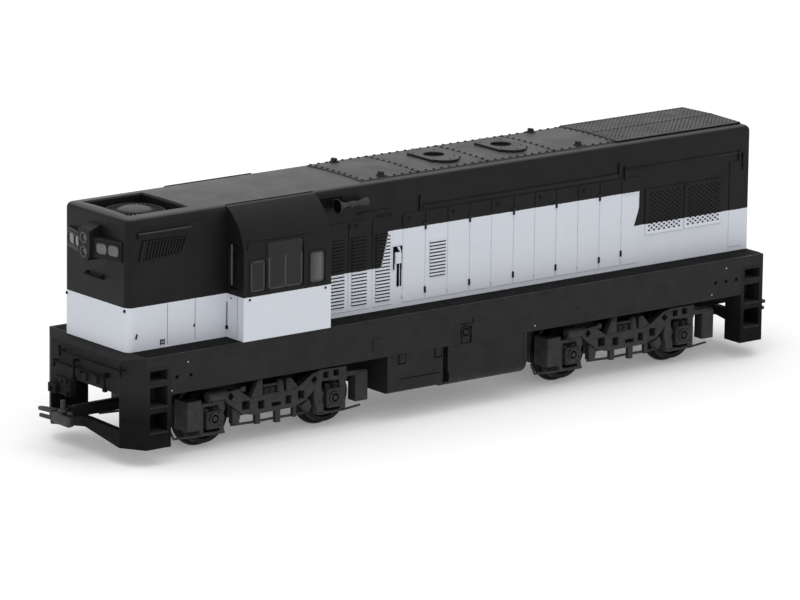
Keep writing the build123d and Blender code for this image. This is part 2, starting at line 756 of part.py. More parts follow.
# outline of the head and its hook: across, to the hook's side negative, and along from the pivot
head_outline = (
    (1.3, 14.4), (4.2, 15.4), (4.2, 18.0), (-3.4, 18.0), (-7.1, 18.6), (-7.4, 17.7), (-3.4, 15.4),
    (-1.3, 14.4),
)

for end, sign in ends:
    pin_y = sign * (bogie_centres / 2 + coupler_pin_offset)
    head_y = pin_y + sign * head_outline[0][1]
    head_top = head_bottom + head_height
    with BuildPart() as coupler:
        with BuildSketch(Plane.XY.offset(coupler_bottom)):
            with Locations((0, pin_y)):
                Circle(eye_radius)
            with Locations((0, (pin_y + head_y) / 2)):
                Rectangle(2 * shank_half_width, abs(head_y - pin_y) + 1)
            with Locations((0, pin_y)):
                Circle(pin_radius + pin_clearance, mode=Mode.SUBTRACT)
        extrude(amount=coupler_thickness)
        with BuildSketch(Plane.XY.offset(head_bottom)):
            with BuildLine():
                Polyline([(-sign * x, pin_y + sign * y) for x, y in head_outline], close=True)
            make_face()
        extrude(amount=head_height)
        with BuildSketch(Plane.XY.offset(head_top)):
            with Locations((0, pin_y + sign * (hook_pin_along - hook_pin_radius))):
                Circle(hook_pin_radius)
        extrude(amount=hook_pin_height)
    save(coupler, "coupler_" + end)
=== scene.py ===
import math

import bmesh
import bpy
from mathutils import Matrix, Vector


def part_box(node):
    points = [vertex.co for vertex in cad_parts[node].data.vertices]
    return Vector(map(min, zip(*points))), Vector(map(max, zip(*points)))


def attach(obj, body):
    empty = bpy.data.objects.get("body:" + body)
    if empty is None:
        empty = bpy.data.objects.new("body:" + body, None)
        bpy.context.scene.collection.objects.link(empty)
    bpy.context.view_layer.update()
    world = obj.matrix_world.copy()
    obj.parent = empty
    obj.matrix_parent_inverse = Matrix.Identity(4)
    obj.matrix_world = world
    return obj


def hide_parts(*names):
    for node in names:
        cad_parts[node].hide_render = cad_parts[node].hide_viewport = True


bl_info = {
    "name": "Model diesel locomotive",
    "version": (1, 0, 0),
    "blender": (4, 5, 0),
    "location": "3D View > Sidebar > Locomotive",
    "description": "Dresses the locomotive's frame with doors, louvres, roof gear, bogies, paint and a stage",
    "category": "Add Mesh",
}

MM = 0.001
SIDES = (-1, 1)
ENDS = (("front", -1), ("rear", 1))

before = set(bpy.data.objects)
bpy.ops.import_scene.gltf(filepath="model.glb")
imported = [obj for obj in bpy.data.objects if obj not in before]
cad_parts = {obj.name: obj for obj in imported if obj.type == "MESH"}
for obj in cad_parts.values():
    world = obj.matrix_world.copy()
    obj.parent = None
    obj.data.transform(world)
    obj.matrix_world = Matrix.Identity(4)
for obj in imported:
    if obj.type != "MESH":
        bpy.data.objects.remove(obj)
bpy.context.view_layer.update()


# --- measures taken from the frame, in millimetres ----------------------------------------------

def span(node_name):
    """Lowest and highest corner of a CAD node, in millimetres."""
    low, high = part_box(node_name)
    return low / MM, high / MM


HOOD_SIDE = span("long_hood")[1].x
HOOD_END = span("long_hood")[1].y
ROOF_TOP = span("long_hood")[1].z
ROOF_CAMBER = 0.35
DECK_TOP = span("deck")[1].z
CAB_SIDE = span("cab")[1].x
CAB_FRONT = span("cab")[0].y
CAB_REAR = span("cab")[1].y
SILL_SIDE = span("side_sills")[1].x
BELLY_SIDE = span("fuel_tank")[1].x
PILOT_FACE = span("pilot_rear")[1].y
BOGIE_CENTRE = 46.0
HALF_WHEELBASE = 15.0
AXLE_HEIGHT = (span("wheelset_1")[0].z + span("wheelset_1")[1].z) / 2
COUPLER_PIVOT = 71.0
DOOR_FOOT, DOOR_TOP = DECK_TOP + 1.0, 41.7
# the white band's high stretch: how far its front edge leans back for each millimetre up, where the slanted
# foot of its rear edge ends, and how far that foot leans for each millimetre
BAND_LEAN = 0.247
BAND_FOOT = 35.3
BAND_FOOT_LEAN = 0.34


def roof_at(x):
    """Height of the cambered roof, x from the centre line."""
    return ROOF_TOP - ROOF_CAMBER * (x / HOOD_SIDE) ** 2


def seat(node_name, y, z):
    """Where the side of a CAD node stands at a place along it and a height, in millimetres."""
    far = Vector((100, y, z)) * MM
    hit, place, _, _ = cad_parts[node_name].ray_cast(far, Vector((-1, 0, 0)))
    if not hit:
        raise RuntimeError(f"{node_name} has no side at {y}, {z}")
    return place.x / MM


# --- settings ------------------------------------------------------------------------------------

def length(name, description, millimetres):
    """A length that is set in metres and given here in millimetres."""
    return bpy.props.FloatProperty(name=name, description=description, default=millimetres * MM,
                                   unit="LENGTH", precision=5)


def linear(hex_colour):
    """An sRGB hex colour as linear red, green and blue."""
    values = [int(hex_colour[i:i + 2], 16) / 255 for i in (1, 3, 5)]
    return [v / 12.92 if v <= 0.04045 else ((v + 0.055) / 1.055) ** 2.4 for v in values]


def colour(name, description, hex_colour):
    """A colour that is given here as sRGB hex."""
    return bpy.props.FloatVectorProperty(name=name, description=description, size=3, min=0, max=1,
                                         subtype="COLOR", default=linear(hex_colour))


class LocoPaintSettings(bpy.types.PropertyGroup):
    """Colours and the white band."""
    black: colour("Body black", "Satin black of the body shell", "#171719")
    white: colour("Band white", "Cool white of the band", "#d3d7df")
    roof: colour("Roof grey", "Matt dark grey of the roof plates", "#4a484a")
    plastic: colour("Underframe black", "Moulded black of the underframe", "#1d1d1e")
    bogie: colour("Bogie black", "Moulded black of the bogies", "#363534")
    pilot: colour("Pilot black", "Matt black of the pilots", "#121213")
    pilot_top: colour("Pilot top black", "Lighter black of the pilots' upper part", "#262627")
    band_top: length("Band top", "Upper edge of the white band", 31.15)
    high_top: length("High band top", "Upper edge of the band's high stretch", 38.45)
    high_front: length("High band front", "Where the high stretch starts, at the low band's edge", -17.9)
    high_rear: length("High band rear", "Where the high stretch ends", 50.2)
    roof_foot: length("Roof grey foot", "Where black starts to turn into the roof's grey", 48.55)
    roof_head: length("Roof grey head", "Where the roof is all grey", 48.85)


class LocoHoodSettings(bpy.types.PropertyGroup):
    """Doors, louvres and grilles on the hoods' sides."""
    door_relief: length("Door relief", "How far a door stands out", 0.14)
    door_gap: length("Door gap", "Open seam between two doors", 0.2)
    louvre_pitch: length("Louvre pitch", "From one louvre to the next", 0.7)
    louvre_relief: length("Louvre relief", "How far a louvre's lip stands out", 0.24)
    grille_pitch: length("Grille pitch", "Along the hood, from one column of holes to the next", 0.7)


class LocoRoofSettings(bpy.types.PropertyGroup):
    """Bolts, ribs and the fan on the roof."""
    bolt_pitch: length("Bolt pitch", "Along a hatch's edges", 2.0)
    bolt_radius: length("Bolt radius", "Of a hatch bolt's head", 0.33)
    rib_pitch: length("Rib pitch", "From one radiator rib to the next", 1.1)
    rib_width: length("Rib width", "Of a radiator rib", 0.5)
    fan_vanes: bpy.props.IntProperty(name="Fan guard vanes", description="Around the fan", default=36, min=3)


class LocoCabSettings(bpy.types.PropertyGroup):
    """Window frames and gutters on the cab."""
    frame_width: length("Frame width", "Of a window's raised frame", 0.4)
    frame_relief: length("Frame relief", "How far a window's frame stands out", 0.16)


class LocoUnderframeSettings(bpy.types.PropertyGroup):
    """Rivets, treads and rails on the underframe and its pilots."""
    rivet_radius: length("Rivet radius", "Of a rivet's head", 0.3)
    rail_radius: length("Rail radius", "Of the pilots' handrails", 0.25)
    tread_thickness: length("Tread thickness", "Of a step's tread", 0.4)


class LocoBogieSettings(bpy.types.PropertyGroup):
    """Side frames and the gear hung on them."""
    edge: length("Frame edge", "Rounding of the side frames' edges", 0.14)
    spring_radius: length("Spring radius", "Of a bolster spring's coil", 0.62)
    cap_radius: length("Cap radius", "Of an axle box's round cap", 1.35)


class LocoStageSettings(bpy.types.PropertyGroup):
    """Floor, lights and camera."""
    floor: colour("Floor", "Pale floor", "#f2f2f2")
    floor_glow: bpy.props.FloatProperty(name="Floor glow", description="Extra white that the camera sees",
                                        default=0.2, min=0)
    sky: bpy.props.FloatProperty(name="Sky", description="Even light from all round", default=0.78, min=0)
    overhead: bpy.props.FloatProperty(name="Overhead softbox", description="Watts", default=4.0, min=0)
    side_box: bpy.props.FloatProperty(name="Side softbox", description="Watts", default=2.2, min=0)


# --- modelling helpers ---------------------------------------------------------------------------

def deselect():
    """Nothing is selected, in object mode."""
    bpy.ops.object.select_all(action="DESELECT")


def only(ob):
    """Selects one object and makes it the active one."""
    deselect()
    ob.select_set(True)
    bpy.context.view_layer.objects.active = ob


def settle(name):
    """Names the new object and moves its place into its mesh."""
    bpy.ops.object.transform_apply(location=True, rotation=True, scale=True)
    ob = bpy.context.object
    ob.name = ob.data.name = name
    return ob


def edit(ob, choose=None):
    """Enters edit mode with all faces, or with those that choose(centre in millimetres, normal) picks."""
    only(ob)
    bpy.ops.object.mode_set(mode="EDIT")
    bpy.ops.mesh.select_mode(type="FACE")
    bpy.ops.mesh.select_all(action="SELECT" if choose is None else "DESELECT")
    if choose is not None:
        mesh = bmesh.from_edit_mesh(ob.data)
        for face in mesh.faces:
            face.select_set(bool(choose(face.calc_center_median() / MM, face.normal)))
        bmesh.update_edit_mesh(ob.data)


def object_mode():
    """Back to object mode."""
    bpy.ops.object.mode_set(mode="OBJECT")


def soften(ob, width, segments=1):
    """Bevels every sharp edge of a piece."""
    edit(ob)
    bpy.ops.mesh.select_all(action="DESELECT")
    bpy.ops.mesh.select_mode(type="EDGE")
    bpy.ops.mesh.edges_select_sharp(sharpness=math.radians(35))
    bpy.ops.mesh.bevel(offset=width * MM, offset_type="OFFSET", segments=segments, affect="EDGES",
                       clamp_overlap=True)
    object_mode()
    return ob


def block(name, x, y, z, bevel=0.06, segments=1):
    """A box between two places on each axis, in millimetres, with softened edges."""
    deselect()
    centre = [sum(pair) / 2 * MM for pair in (x, y, z)]
    bpy.ops.mesh.primitive_cube_add(size=1, location=centre)
    bpy.context.object.scale = [abs(pair[1] - pair[0]) * MM for pair in (x, y, z)]
    return soften(settle(name), bevel, segments)


def about(middle, half):
    """The range that reaches as far to both sides of a middle."""
    return middle - half, middle + half


def proud(name, side, reach, y, z, bevel=0.06, segments=1, sunk=0.1):
    """A block that is sunk into a side and stands out from it, in millimetres."""
    return block(name, (side - sunk, side + reach), y, z, bevel, segments)


def round_bar(name, start, end, radius, vertices=14, bevel=0.05, end_radius=None):
    """A round bar or cone between two points, in millimetres."""
    deselect()
    start, end = Vector(start) * MM, Vector(end) * MM
    run = end - start
    bpy.ops.mesh.primitive_cone_add(
        vertices=vertices, radius1=radius * MM, radius2=(radius if end_radius is None else end_radius) * MM,
        depth=run.length, location=(start + end) / 2, rotation=run.to_track_quat("Z", "Y").to_euler())
    return soften(settle(name), bevel)


def ball(name, centre, radius, flatten=(1, 1, 1), segments=12, rings=8):
    """A ball, squashed along the axes by flatten."""
    deselect()
    bpy.ops.mesh.primitive_uv_sphere_add(segments=segments, ring_count=rings, radius=radius * MM,
                                         location=Vector(centre) * MM)
    bpy.context.object.scale = flatten
    return settle(name)


def hoop(name, centre, radius, thickness, axis=2, segments=32, rings=8):
    """A round hoop about one axis, in millimetres."""
    deselect()
    turn = ((0, math.pi / 2, 0), (math.pi / 2, 0, 0), (0, 0, 0))[axis]
    bpy.ops.mesh.primitive_torus_add(major_radius=radius * MM, minor_radius=thickness * MM,
                                     major_segments=segments, minor_segments=rings,
                                     location=Vector(centre) * MM, rotation=turn)
    return settle(name)


def plate(name, outline, axis, near, far, bevel=0.06, segments=1):
    """An outline across axis, given as its two other coordinates, extruded from near to far."""
    deselect()
    bpy.ops.mesh.primitive_circle_add(vertices=len(outline), radius=MM, fill_type="NGON")
    ob = bpy.context.object
    for vertex, (a, b) in zip(ob.data.vertices, outline):
        place = [a, b]
        place.insert(axis, near)
        vertex.co = Vector(place) * MM
    settle(name)
    edit(ob)
    shift = [0, 0, 0]
    shift[axis] = (far - near) * MM
    bpy.ops.mesh.extrude_region_move(TRANSFORM_OT_translate={"value": shift})
    bpy.ops.mesh.select_all(action="SELECT")
    bpy.ops.mesh.normals_make_consistent(inside=False)
    object_mode()
    return soften(ob, bevel, segments) if bevel else ob


def join(name, *parts):
    """Several pieces as one object."""
    deselect()
    for part in parts:
        part.select_set(True)
    bpy.context.view_layer.objects.active = parts[0]
    if len(parts) > 1:
        bpy.ops.object.join()
    ob = bpy.context.object
    ob.name = ob.data.name = name
    return ob


def cut(ob, *cutters):
    """Takes the cutters' shape out of a piece."""
    cutter = join("cutter", *cutters)
    only(ob)
    hole = ob.modifiers.new("hole", "BOOLEAN")
    hole.object = cutter
    hole.solver = "EXACT"
    bpy.ops.object.modifier_apply(modifier="hole")
    bpy.data.objects.remove(cutter)
    return ob


def twin(ob, matrix):
    """A copy of a piece with its own mesh, moved by a matrix."""
    other = ob.copy()
    other.data = ob.data.copy()
    other.data.transform(matrix)
    bpy.context.collection.objects.link(other)
    if matrix.determinant() < 0:
        edit(other)
        bpy.ops.mesh.flip_normals()
        object_mode()
    return other


def copies(ob, places):
    """The piece at each offset in millimetres, as one object, each copy with its own mesh."""
    name = ob.name
    made = [twin(ob, Matrix.Translation(Vector(place) * MM)) for place in places]
    bpy.data.objects.remove(ob)
    return join(name, *made)


def mirrored(ob):
    """The piece and its mirror image on the other side, as one object."""
    return join(ob.name, ob, twin(ob, Matrix.Diagonal((-1, 1, 1, 1))))


def both_ends(ob):
    """The piece and the same turned half round, for the other end, as one object."""
    return join(ob.name, ob, twin(ob, Matrix.Rotation(math.pi, 4, "Z")))


def wire(name, points, radius, vertices=8):
    """A bent round bar through points, with a ball in each bend."""
    parts = [round_bar(name, a, b, radius, vertices) for a, b in zip(points, points[1:])]
    parts += [ball(name, p, radius, segments=vertices, rings=6) for p in points]
    return join(name, *parts)


def finish(ob, maker, body="body", slot="body_plastic", angle=35):
    """Gives a piece its material and its smooth shading, and lets it ride on a body."""
    only(ob)
    bpy.ops.object.shade_smooth_by_angle(angle=math.radians(angle))
    ob.data.materials.clear()
    ob.data.materials.append(use(maker))
    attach(ob, body)
    deselect()
    return ob


def on_sides(name, parts, maker, **settings):
    """Parts as one finished piece, with their mirror image on the other side."""
    return finish(mirrored(join(name, *parts)), maker, **settings)


def on_ends(name, parts, maker, **settings):
    """Parts as one finished piece, with the same for the other end."""
    return finish(both_ends(join(name, *parts)), maker, **settings)


# --- materials -----------------------------------------------------------------------------------

def node(tree, kind, inputs=None, **settings):
    """Adds a node with its settings and gives its first output. An input is a value, or the socket that
    feeds it."""
    new = tree.nodes.new(kind)
    for key, value in settings.items():
        setattr(new, key, value)
    for key, value in (inputs or {}).items():
        if isinstance(value, bpy.types.NodeSocket):
            tree.links.new(value, new.inputs[key])
        else:
            new.inputs[key].default_value = value
    return next(socket for socket in new.outputs if socket.enabled)


def blank(name, **constants):
    """A new material, its tree, its shader with some constants, and the object coordinates."""
    material = bpy.data.materials.new(name)
    material.use_nodes = True
    tree = material.node_tree
    shader = tree.nodes["Principled BSDF"]
    for key, value in constants.items():
        shader.inputs[key.replace("_", " ")].default_value = value
    place = tree.nodes.new("ShaderNodeTexCoord").outputs["Object"]
    return material, tree, shader, place


def surface(tree, shader, place, base, shade, patch, gloss, grain, depth, edge=0.1):
    """A real finish's unevenness: colour that drifts from base to a shade of it over patches, gloss that
    drifts with it, a bump of fine grain, and edges that catch the light. Sizes are in millimetres."""
    drift = node(tree, "ShaderNodeTexNoise", {"Vector": place, "Scale": 1 / (patch * MM), "Detail": 3.0})
    even = node(tree, "ShaderNodeMapRange", {"Value": drift, "From Min": 0.35, "From Max": 0.65})
    shown = node(tree, "ShaderNodeMix", {"Factor": even, "A": [*base, 1],
                                         "B": [*(v * shade for v in base), 1]}, data_type="RGBA")
    tree.links.new(shown, shader.inputs["Base Color"])
    dull = node(tree, "ShaderNodeMapRange", {"Value": even, "To Min": gloss[0], "To Max": gloss[1]})
    tree.links.new(dull, shader.inputs["Roughness"])
    fine = node(tree, "ShaderNodeTexNoise", {"Vector": place, "Scale": 1 / (grain * MM), "Detail": 2.0})
    rounded = node(tree, "ShaderNodeBevel", {"Radius": edge * MM}, samples=4)
    skin = node(tree, "ShaderNodeBump", {"Height": fine, "Distance": depth * MM, "Normal": rounded})
    tree.links.new(skin, shader.inputs["Normal"])
    return shown


def fade(tree, shader, place, axis, start, end, near, far):
    """Lets the base colour turn from near to far between two places on an axis, in millimetres."""
    along = node(tree, "ShaderNodeSeparateXYZ", {"Vector": place}).node.outputs[axis]
    share = node(tree, "ShaderNodeMapRange", {"Value": along, "From Min": start * MM, "From Max": end * MM})
    shown = node(tree, "ShaderNodeMix", {"Factor": share, "A": near, "B": far}, data_type="RGBA")
    tree.links.new(shown, shader.inputs["Base Color"])


def seen_directly(tree):
    """1 for rays from the camera, off gloss and through glass, and 0 for those that light the object."""
    rays = node(tree, "ShaderNodeLightPath").node
    seen = rays.outputs["Is Camera Ray"]
    for kind in ("Is Glossy Ray", "Is Transmission Ray"):
        seen = node(tree, "ShaderNodeMath", {0: seen, 1: rays.outputs[kind]}, operation="MAXIMUM")
    return seen


def satin_paint():
    """Satin spray paint on styrene: black above, a cool white band below, with a faint orange-peel skin."""
    paint = bpy.context.scene.loco_paint
    material, tree, shader, place = blank("satin_spray_paint", IOR=1.46, Specular_IOR_Level=0.16)
    black = surface(tree, shader, place, paint.black, shade=0.8, patch=6.0, gloss=(0.42, 0.5), grain=0.35,
                    depth=0.01)
    split = node(tree, "ShaderNodeSeparateXYZ", {"Vector": place}).node
    along, height = split.outputs["Y"], split.outputs["Z"]
    # a masked edge wanders by a few hundredths of a millimetre
    noise = node(tree, "ShaderNodeTexNoise", {"Vector": place, "Scale": 1 / (0.6 * MM), "Detail": 3.0})
    wander = node(tree, "ShaderNodeMapRange", {"Value": noise, "To Min": -0.08 * MM, "To Max": 0.08 * MM})
    height = node(tree, "ShaderNodeMath", {0: height, 1: wander}, operation="ADD")
    along = node(tree, "ShaderNodeMath", {0: along, 1: wander}, operation="ADD")
    low_band = node(tree, "ShaderNodeMath", {0: height, 1: paint.band_top}, operation="LESS_THAN")
    # the high stretch leans at its front, and at the foot of its rear edge
    rise = node(tree, "ShaderNodeMath", {0: height, 1: paint.band_top}, operation="SUBTRACT")
    lean = node(tree, "ShaderNodeMath", {0: rise, 1: -BAND_LEAN, 2: along}, operation="MULTIPLY_ADD")
    behind = node(tree, "ShaderNodeMath", {0: lean, 1: paint.high_front}, operation="GREATER_THAN")
    foot = node(tree, "ShaderNodeMath", {0: height, 1: -BAND_FOOT * MM}, operation="ADD")
    foot = node(tree, "ShaderNodeMath", {0: foot, 1: BAND_FOOT_LEAN}, operation="MULTIPLY")
    foot = node(tree, "ShaderNodeMath", {0: foot, 1: 0.0}, operation="MINIMUM")
    rear = node(tree, "ShaderNodeMath", {0: along, 1: foot}, operation="SUBTRACT")
    before = node(tree, "ShaderNodeMath", {0: rear, 1: paint.high_rear}, operation="LESS_THAN")
    under = node(tree, "ShaderNodeMath", {0: height, 1: paint.high_top}, operation="LESS_THAN")
    high_band = node(tree, "ShaderNodeMath", {0: behind, 1: before}, operation="MULTIPLY")
    high_band = node(tree, "ShaderNodeMath", {0: high_band, 1: under}, operation="MULTIPLY")
    band = node(tree, "ShaderNodeMath", {0: low_band, 1: high_band}, operation="MAXIMUM")
    patches = node(tree, "ShaderNodeTexNoise", {"Vector": place, "Scale": 1 / (4 * MM), "Detail": 3.0})
    white = node(tree, "ShaderNodeMix", {"Factor": patches, "A": [*paint.white, 1],
                                         "B": [*(v * 0.96 for v in paint.white), 1]}, data_type="RGBA")
    shown = node(tree, "ShaderNodeMix", {"Factor": band, "A": black, "B": white}, data_type="RGBA")
    # the roofs' level tops take the hatches' grey: partly the roof plates' grey, partly a painted reflection
    # of the light above on the black paint
    top = node(tree, "ShaderNodeMapRange", {"Value": height, "From Min": paint.roof_foot,
                                            "From Max": paint.roof_head})
    shown = node(tree, "ShaderNodeMix", {"Factor": top, "A": shown, "B": [*paint.roof, 1]}, data_type="RGBA")
    tree.links.new(shown, shader.inputs["Base Color"])
    return material


def plain(name, base, shade, patch, gloss, grain, depth, edge=0.1, **constants):
    """A maker of a material that is one surface(). Its base is a hex colour, or a paint setting's name."""
    def maker():
        material, tree, shader, place = blank(name, **constants)
        tone = linear(base) if base.startswith("#") else getattr(bpy.context.scene.loco_paint, base)
        surface(tree, shader, place, tone, shade, patch, gloss, grain, depth, edge)
        return material
    return maker


# Moulded dark grey styrene: dry and even, with a soft grey sheen at a low angle.
GREY_STYRENE = {"shade": 0.9, "patch": 7.0, "gloss": (0.48, 0.58), "grain": 0.3, "depth": 0.012}
roof_plastic = plain("moulded_grey_styrene", "roof", **GREY_STYRENE, IOR=1.5, Specular_IOR_Level=0.2)
# Injection-moulded black acetal: even, slightly soapy, with a fine spark-eroded skin.
moulded_black = plain("moulded_black_acetal", "plastic", shade=0.8, patch=3.0, gloss=(0.46, 0.58), grain=0.18,
                      depth=0.012, IOR=1.48, Specular_IOR_Level=0.2)
# Cast-look black acetal: drier than the sills', with a sandy grain that softens its highlights.
bogie_black = plain("sandy_black_acetal", "bogie", shade=0.78, patch=1.6, gloss=(0.5, 0.64), grain=0.22,
                    depth=0.02, IOR=1.48, Specular_IOR_Level=0.22)
# Unpainted black styrene in joints and lines, and painted shade deep in slots and holes, which reads as an
# opening.
shadow_black = plain("soot_black_styrene", "#0a0a0a", shade=0.6, patch=1.0, gloss=(0.85, 0.95), grain=0.2,
                     depth=0.01, IOR=1.5, Specular_IOR_Level=0.03)
# Unpainted black styrene with a dry matt skin: walkways, end rails and vent backs, and the painted shadow
# under the louvres' lips.
deck_black = plain("matt_black_styrene", "#131314", shade=0.75, patch=2.0, gloss=(0.66, 0.78), grain=0.18,
                   depth=0.012, IOR=1.5, Specular_IOR_Level=0.05)
# Bare steel pin end: a tiny bright head with a soft glint.
bright_pin = plain("bare_steel_pin", "#c9cacc", shade=0.7, patch=0.3, gloss=(0.3, 0.4), grain=0.1,
                   depth=0.005, edge=0.05, Metallic=1.0)
# Glass-filled nylon: grey-black with a waxy sheen along its moulded edges.
coupler_plastic = plain("black_nylon", "#252526", shade=0.75, patch=1.4, gloss=(0.4, 0.55), grain=0.16,
                        depth=0.015, IOR=1.53, Specular_IOR_Level=0.35)
# Clear lamp lens: glossy, and grey from the foil behind it.
lamp_styrene = plain("clear_lamp_styrene", "#5a5c5e", shade=0.45, patch=0.8, gloss=(0.1, 0.2), grain=0.5,
                     depth=0.05, IOR=1.55)
# Milky grey-white styrene: blank number boards, lamp bulbs, and the painted highlight on the inner edge of
# glazing.
board_styrene = plain("milky_styrene", "#5c5d60", shade=0.7, patch=1.6, gloss=(0.2, 0.3), grain=0.6,
                      depth=0.02, IOR=1.5)


def pilot_black():
    """Matt black acetal: the darkest of the mouldings, nearly without sheen, with painted shade that leaves
    its lower half darkest and its upper half a little paler."""
    material, tree, shader, place = blank("matt_black_acetal", IOR=1.48, Specular_IOR_Level=0.07)
    paint = bpy.context.scene.loco_paint
    dark = surface(tree, shader, place, paint.pilot, shade=0.8, patch=2.5, gloss=(0.6, 0.72), grain=0.18,
                   depth=0.012)
    # painted shade: darker towards the foot, paler towards the top
    fade(tree, shader, place, "Z", 9, 16, dark, [*paint.pilot_top, 1])
    return material


def window_styrene():
    """Smoked moulded styrene, with painted light: near black before the dark cab, as painted shade, and paler
    at its rear end, painted with the daylight that crosses it."""
    material, tree, shader, place = blank("smoked_styrene", IOR=1.5, Specular_IOR_Level=0.25)
    dark = surface(tree, shader, place, linear("#161718"), shade=0.8, patch=5.0, gloss=(0.1, 0.2), grain=3.0,
                   depth=0.01)
    # painted light: the glazing turns paler towards its rear end, where daylight crosses it
    fade(tree, shader, place, "Y", -41.0, -36.5, dark, [*linear("#626364"), 1])
    return material


def exhaust_plastic():
    """Moulded grey styrene, with painted shade: black on each plate's side, in the corner under its rim."""
    material, tree, shader, place = blank("rimmed_grey_styrene", IOR=1.5, Specular_IOR_Level=0.2)
    grey = surface(tree, shader, place, bpy.context.scene.loco_paint.roof, **GREY_STYRENE)
    top = span("exhausts")[1].z
    # painted shade: black on the plates' sides, up to just under their tops
    fade(tree, shader, place, "Z", top - 0.2, top - 0.08, [*linear("#0d0d0e"), 1], grey)
    return material


def dark_nickel():
    """Chemically blackened nickel silver, turned on a lathe: near black with fine bright rings."""
    material, tree, shader, place = blank("blackened_nickel_silver", Metallic=1.0)
    split = node(tree, "ShaderNodeSeparateXYZ", {"Vector": place}).node
    # rings round the nearest axle
    across = split.outputs["Y"]
    for distance in (BOGIE_CENTRE, HALF_WHEELBASE):
        across = node(tree, "ShaderNodeMath", {0: across}, operation="ABSOLUTE")
        across = node(tree, "ShaderNodeMath", {0: across, 1: distance * MM}, operation="SUBTRACT")
    up = node(tree, "ShaderNodeMath", {0: split.outputs["Z"], 1: AXLE_HEIGHT * MM}, operation="SUBTRACT")
    from_axle = node(tree, "ShaderNodeCombineXYZ", {"X": across, "Y": up})
    radius = node(tree, "ShaderNodeVectorMath", {0: from_axle}, operation="LENGTH")
    # turning marks are drawn 0.12 mm apart, coarser than the real ones, so that they show
    rings = node(tree, "ShaderNodeTexNoise", {"W": radius, "Scale": 1 / (0.12 * MM), "Detail": 2.0},
                 noise_dimensions="1D")
    shown = node(tree, "ShaderNodeMix", {"Factor": rings, "A": [*linear("#171717"), 1],
                                         "B": [*linear("#2e2d2c"), 1]}, data_type="RGBA")
    tree.links.new(shown, shader.inputs["Base Color"])
    dull = node(tree, "ShaderNodeMapRange", {"Value": rings, "To Min": 0.36, "To Max": 0.5})
    tree.links.new(dull, shader.inputs["Roughness"])
    skin = node(tree, "ShaderNodeBump", {"Height": rings, "Distance": 0.01 * MM})
    tree.links.new(skin, shader.inputs["Normal"])
    return material


def white_paper():
    """Matt white paper sweep: even, with the faintest tooth."""
    stage = bpy.context.scene.loco_stage
    material, tree, shader, place = blank("white_paper", IOR=1.3)
    surface(tree, shader, place, stage.floor, shade=0.99, patch=40.0, gloss=(0.88, 0.95), grain=0.8,
            depth=0.01)
    glow = node(tree, "ShaderNodeMath", {0: seen_directly(tree), 1: stage.floor_glow}, operation="MULTIPLY")
    tree.links.new(glow, shader.inputs["Emission Strength"])
    shader.inputs["Emission Color"].default_value = (1, 1, 1, 1)
    return material


MADE = {}


def use(maker):
    """A material from its maker function, made once."""
    if maker not in MADE:
        MADE[maker] = maker()
    return MADE[maker]


# --- operators -----------------------------------------------------------------------------------

class LocoOperator:
    """What the operators have in common."""
    bl_options = {"REGISTER", "UNDO"}


BOGIE_NODES = ("gear_block", "frame_brackets", "side_frames", "frame_end_plates", "brake_gear")


class LOCO_OT_shell(LocoOperator, bpy.types.Operator):
    """Paints the frame's own pieces: hoods, cab, underframe, wheels and glazing"""
    bl_idname = "loco.shell"
    bl_label = "Frame finishes"

    finishes = {
        satin_paint: ("short_hood", "cab", "long_hood", "lamp_housing_front", "lamp_housing_rear"),
        roof_plastic: ("roof_hatches",),
        exhaust_plastic: ("exhausts",),
        moulded_black: ("deck", "side_sills", "equipment_box", "fuel_tank", "roof_radiators"),
        pilot_black: ("pilot_front", "pilot_rear", "bolsters"),
        bogie_black: ("horn", *(part + end for end in ("_front", "_rear") for part in BOGIE_NODES)),
        coupler_plastic: ("coupler_front", "coupler_rear"),
        shadow_black: ("side_radiators", "side_vents", "roof_fan"),
        dark_nickel: ("wheelset_1", "wheelset_2", "wheelset_3", "wheelset_4"),
        window_styrene: ("cab_windows",),
        lamp_styrene: ("lamp_lenses_front", "lamp_lenses_rear"),
        board_styrene: ("number_boards_front", "number_boards_rear"),
    }

    def execute(self, context):
        for maker, nodes in self.finishes.items():
            for name in nodes:
                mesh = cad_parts[name].data
                mesh.materials.clear()
                mesh.materials.append(use(maker))
        return {"FINISHED"}


